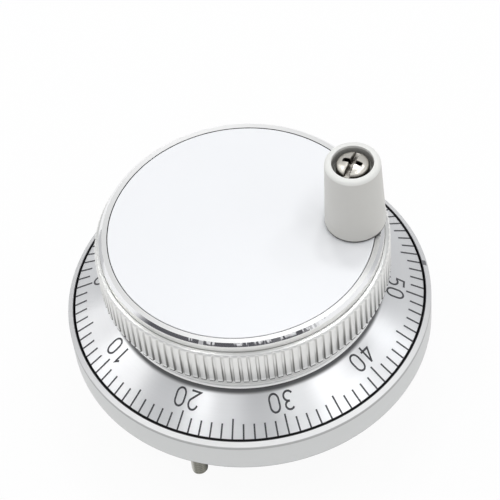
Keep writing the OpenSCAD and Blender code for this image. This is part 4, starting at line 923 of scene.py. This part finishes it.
def makeStuds():
    # the thread is a groove that climbs one pitch a turn: its depth follows the distance from a crest
    low, high = studFoot[2], studTop[2]
    z = np.arange(low, stud["threadTop"], stud["pitch"] / stud["rowsPerTurn"])[:, None]
    angle = (np.arange(stud["segments"]) * 2 * math.pi / stud["segments"])[None]
    turns = (z / stud["pitch"] - angle / (2 * math.pi)) % 1
    depth = stud["cut"] * stud["pitch"] * stud["cutShare"] * (1 - np.abs(2 * turns - 1))
    tip = np.clip((z - low) / stud["tip"], 0, 1)
    fade = np.clip((stud["fadeFrom"] - z) / stud["fade"], 0, 1)
    outer = stud["radius"] - stud["tipIn"] * (1 - tip)
    radius = np.minimum(outer, stud["radius"] - depth * fade)
    z = np.broadcast_to(z, radius.shape)
    grids = []
    for place in np.radians(stud["places"]):
        centre = stud["circle"] * np.array((np.cos(place), np.sin(place)))
        thread = np.stack((centre[0] + radius * np.cos(angle),
                           centre[1] + radius * np.sin(angle), z), axis=-1)
        foot = revolve(np.array([(0, low)]), stud["segments"], centre)
        root = np.array([(stud["radius"], stud["collar"]), (stud["radius"], 0.0),
                         (stud["rootR"] - stud["rootEdge"], 0.0), (stud["rootR"], stud["rootEdge"]),
                         (stud["rootR"], high), (0, high)])
        grids.append((np.concatenate((foot, thread, revolve(root, stud["segments"], centre))), False, True))
    addPiece("mounting_studs", grids, sharp=50)


# how far the edges of the other pieces that show are broken, in millimetres
brokenEdges = {
    "handle_washer": 0.05, "handle_spindle": 0.05, "rear_case": 0.15, "terminal_block": 0.12,
    "case_screws": 0.06, "block_screws": 0.04, "terminal_plates": 0.06, "terminal_washers": 0.06,
    "terminal_screws": 0.05,
}

placeCamera()
placeSoftboxes()
makeDial()
makeFlange()
makeKnob()
makeTopPlate()
makeGrip()
makeHandleScrew()
makeStuds()
print("turned pieces made")
for node, broken in brokenEdges.items():
    refineNode(node, broken)
print("rear pieces made")


def makeFloor():
    # a square sheet under the part: a paper's surface for the light, and nearly plain white to look at
    half = studio["floorSize"] / 2
    mesh = bpy.data.meshes.new("floor")
    z = floorZ * mm
    mesh.from_pydata([(-half, -half, z), (half, -half, z), (half, half, z), (-half, half, z)], [],
                     [(0, 1, 2, 3)])
    material, tree, shader, _ = newMaterial("floorPaper", studio["floorColour"], 0.0,
                                            studio["floorRoughness"])
    path = addNode(tree, "ShaderNodeLightPath").outputs
    seen = calc(tree, "MAXIMUM", path["Is Camera Ray"], path["Is Glossy Ray"])
    seen = calc(tree, "MAXIMUM", seen, path["Is Transmission Ray"])
    share = calc(tree, "MULTIPLY", seen, studio["floorGlow"])
    glow = addNode(tree, "ShaderNodeEmission", {"Color": (1, 1, 1, 1), "Strength": 1.0}).outputs[0]
    mix = addNode(tree, "ShaderNodeMixShader", {0: share, 1: shader.outputs[0], 2: glow}).outputs[0]
    tree.links.new(mix, tree.nodes["Material Output"].inputs["Surface"])
    mesh.materials.append(material)
    floor = bpy.data.objects.new("floor", mesh)
    bpy.context.scene.collection.objects.link(floor)


def makeWorld():
    # plain light from everywhere, with the bands painted over it
    world = bpy.data.worlds.new("studioWorld")
    world.use_nodes = True
    tree = world.node_tree
    direction = addNode(tree, "ShaderNodeTexCoord").outputs["Generated"]
    parts = addNode(tree, "ShaderNodeSeparateXYZ", {0: direction}).outputs
    flat = addNode(tree, "ShaderNodeCombineXYZ", {0: parts[0], 1: parts[1]}).outputs[0]
    flat = vectorCalc(tree, "NORMALIZE", flat)

    def towards(azimuth):
        # cosine of the angle between the direction and an azimuth, seen from above
        turn = math.radians(view["azimuth"] - 90 + azimuth)
        return vectorCalc(tree, "DOT_PRODUCT", flat, (math.cos(turn), math.sin(turn), 0), "Value")

    fall, edge, end = bandShape["fall"], bandShape["softEdge"], bandShape["softEnd"]
    colour = (*studio["worldColour"], 1)
    for band in bands.values():
        rise = calc(tree, "MULTIPLY_ADD", towards(0), -fall, parts[2])
        low, high = [math.sin(math.radians(bandShape["height"] + d)) - fall
                     for d in (-band["halfHeight"], band["halfHeight"])]
        above = rampValue(tree, rise, 0, 1, low - edge, low + edge)
        below = rampValue(tree, rise, 1, 0, high - edge, high + edge)
        beside = [math.cos(math.radians(band["halfWidth"] + d)) for d in (end, -end)]
        inside = calc(tree, "MULTIPLY", calc(tree, "MULTIPLY", above, below),
                      rampValue(tree, towards(band["azimuth"]), 0, 1, *beside))
        colour = mixColour(tree, inside, colour, (*band["colour"], 1))
    tree.links.new(colour, tree.nodes["Background"].inputs["Color"])
    bpy.context.scene.world = world


makeFloor()
makeWorld()
bpy.context.scene.view_settings.view_transform = "Standard"
print("floor and world made")
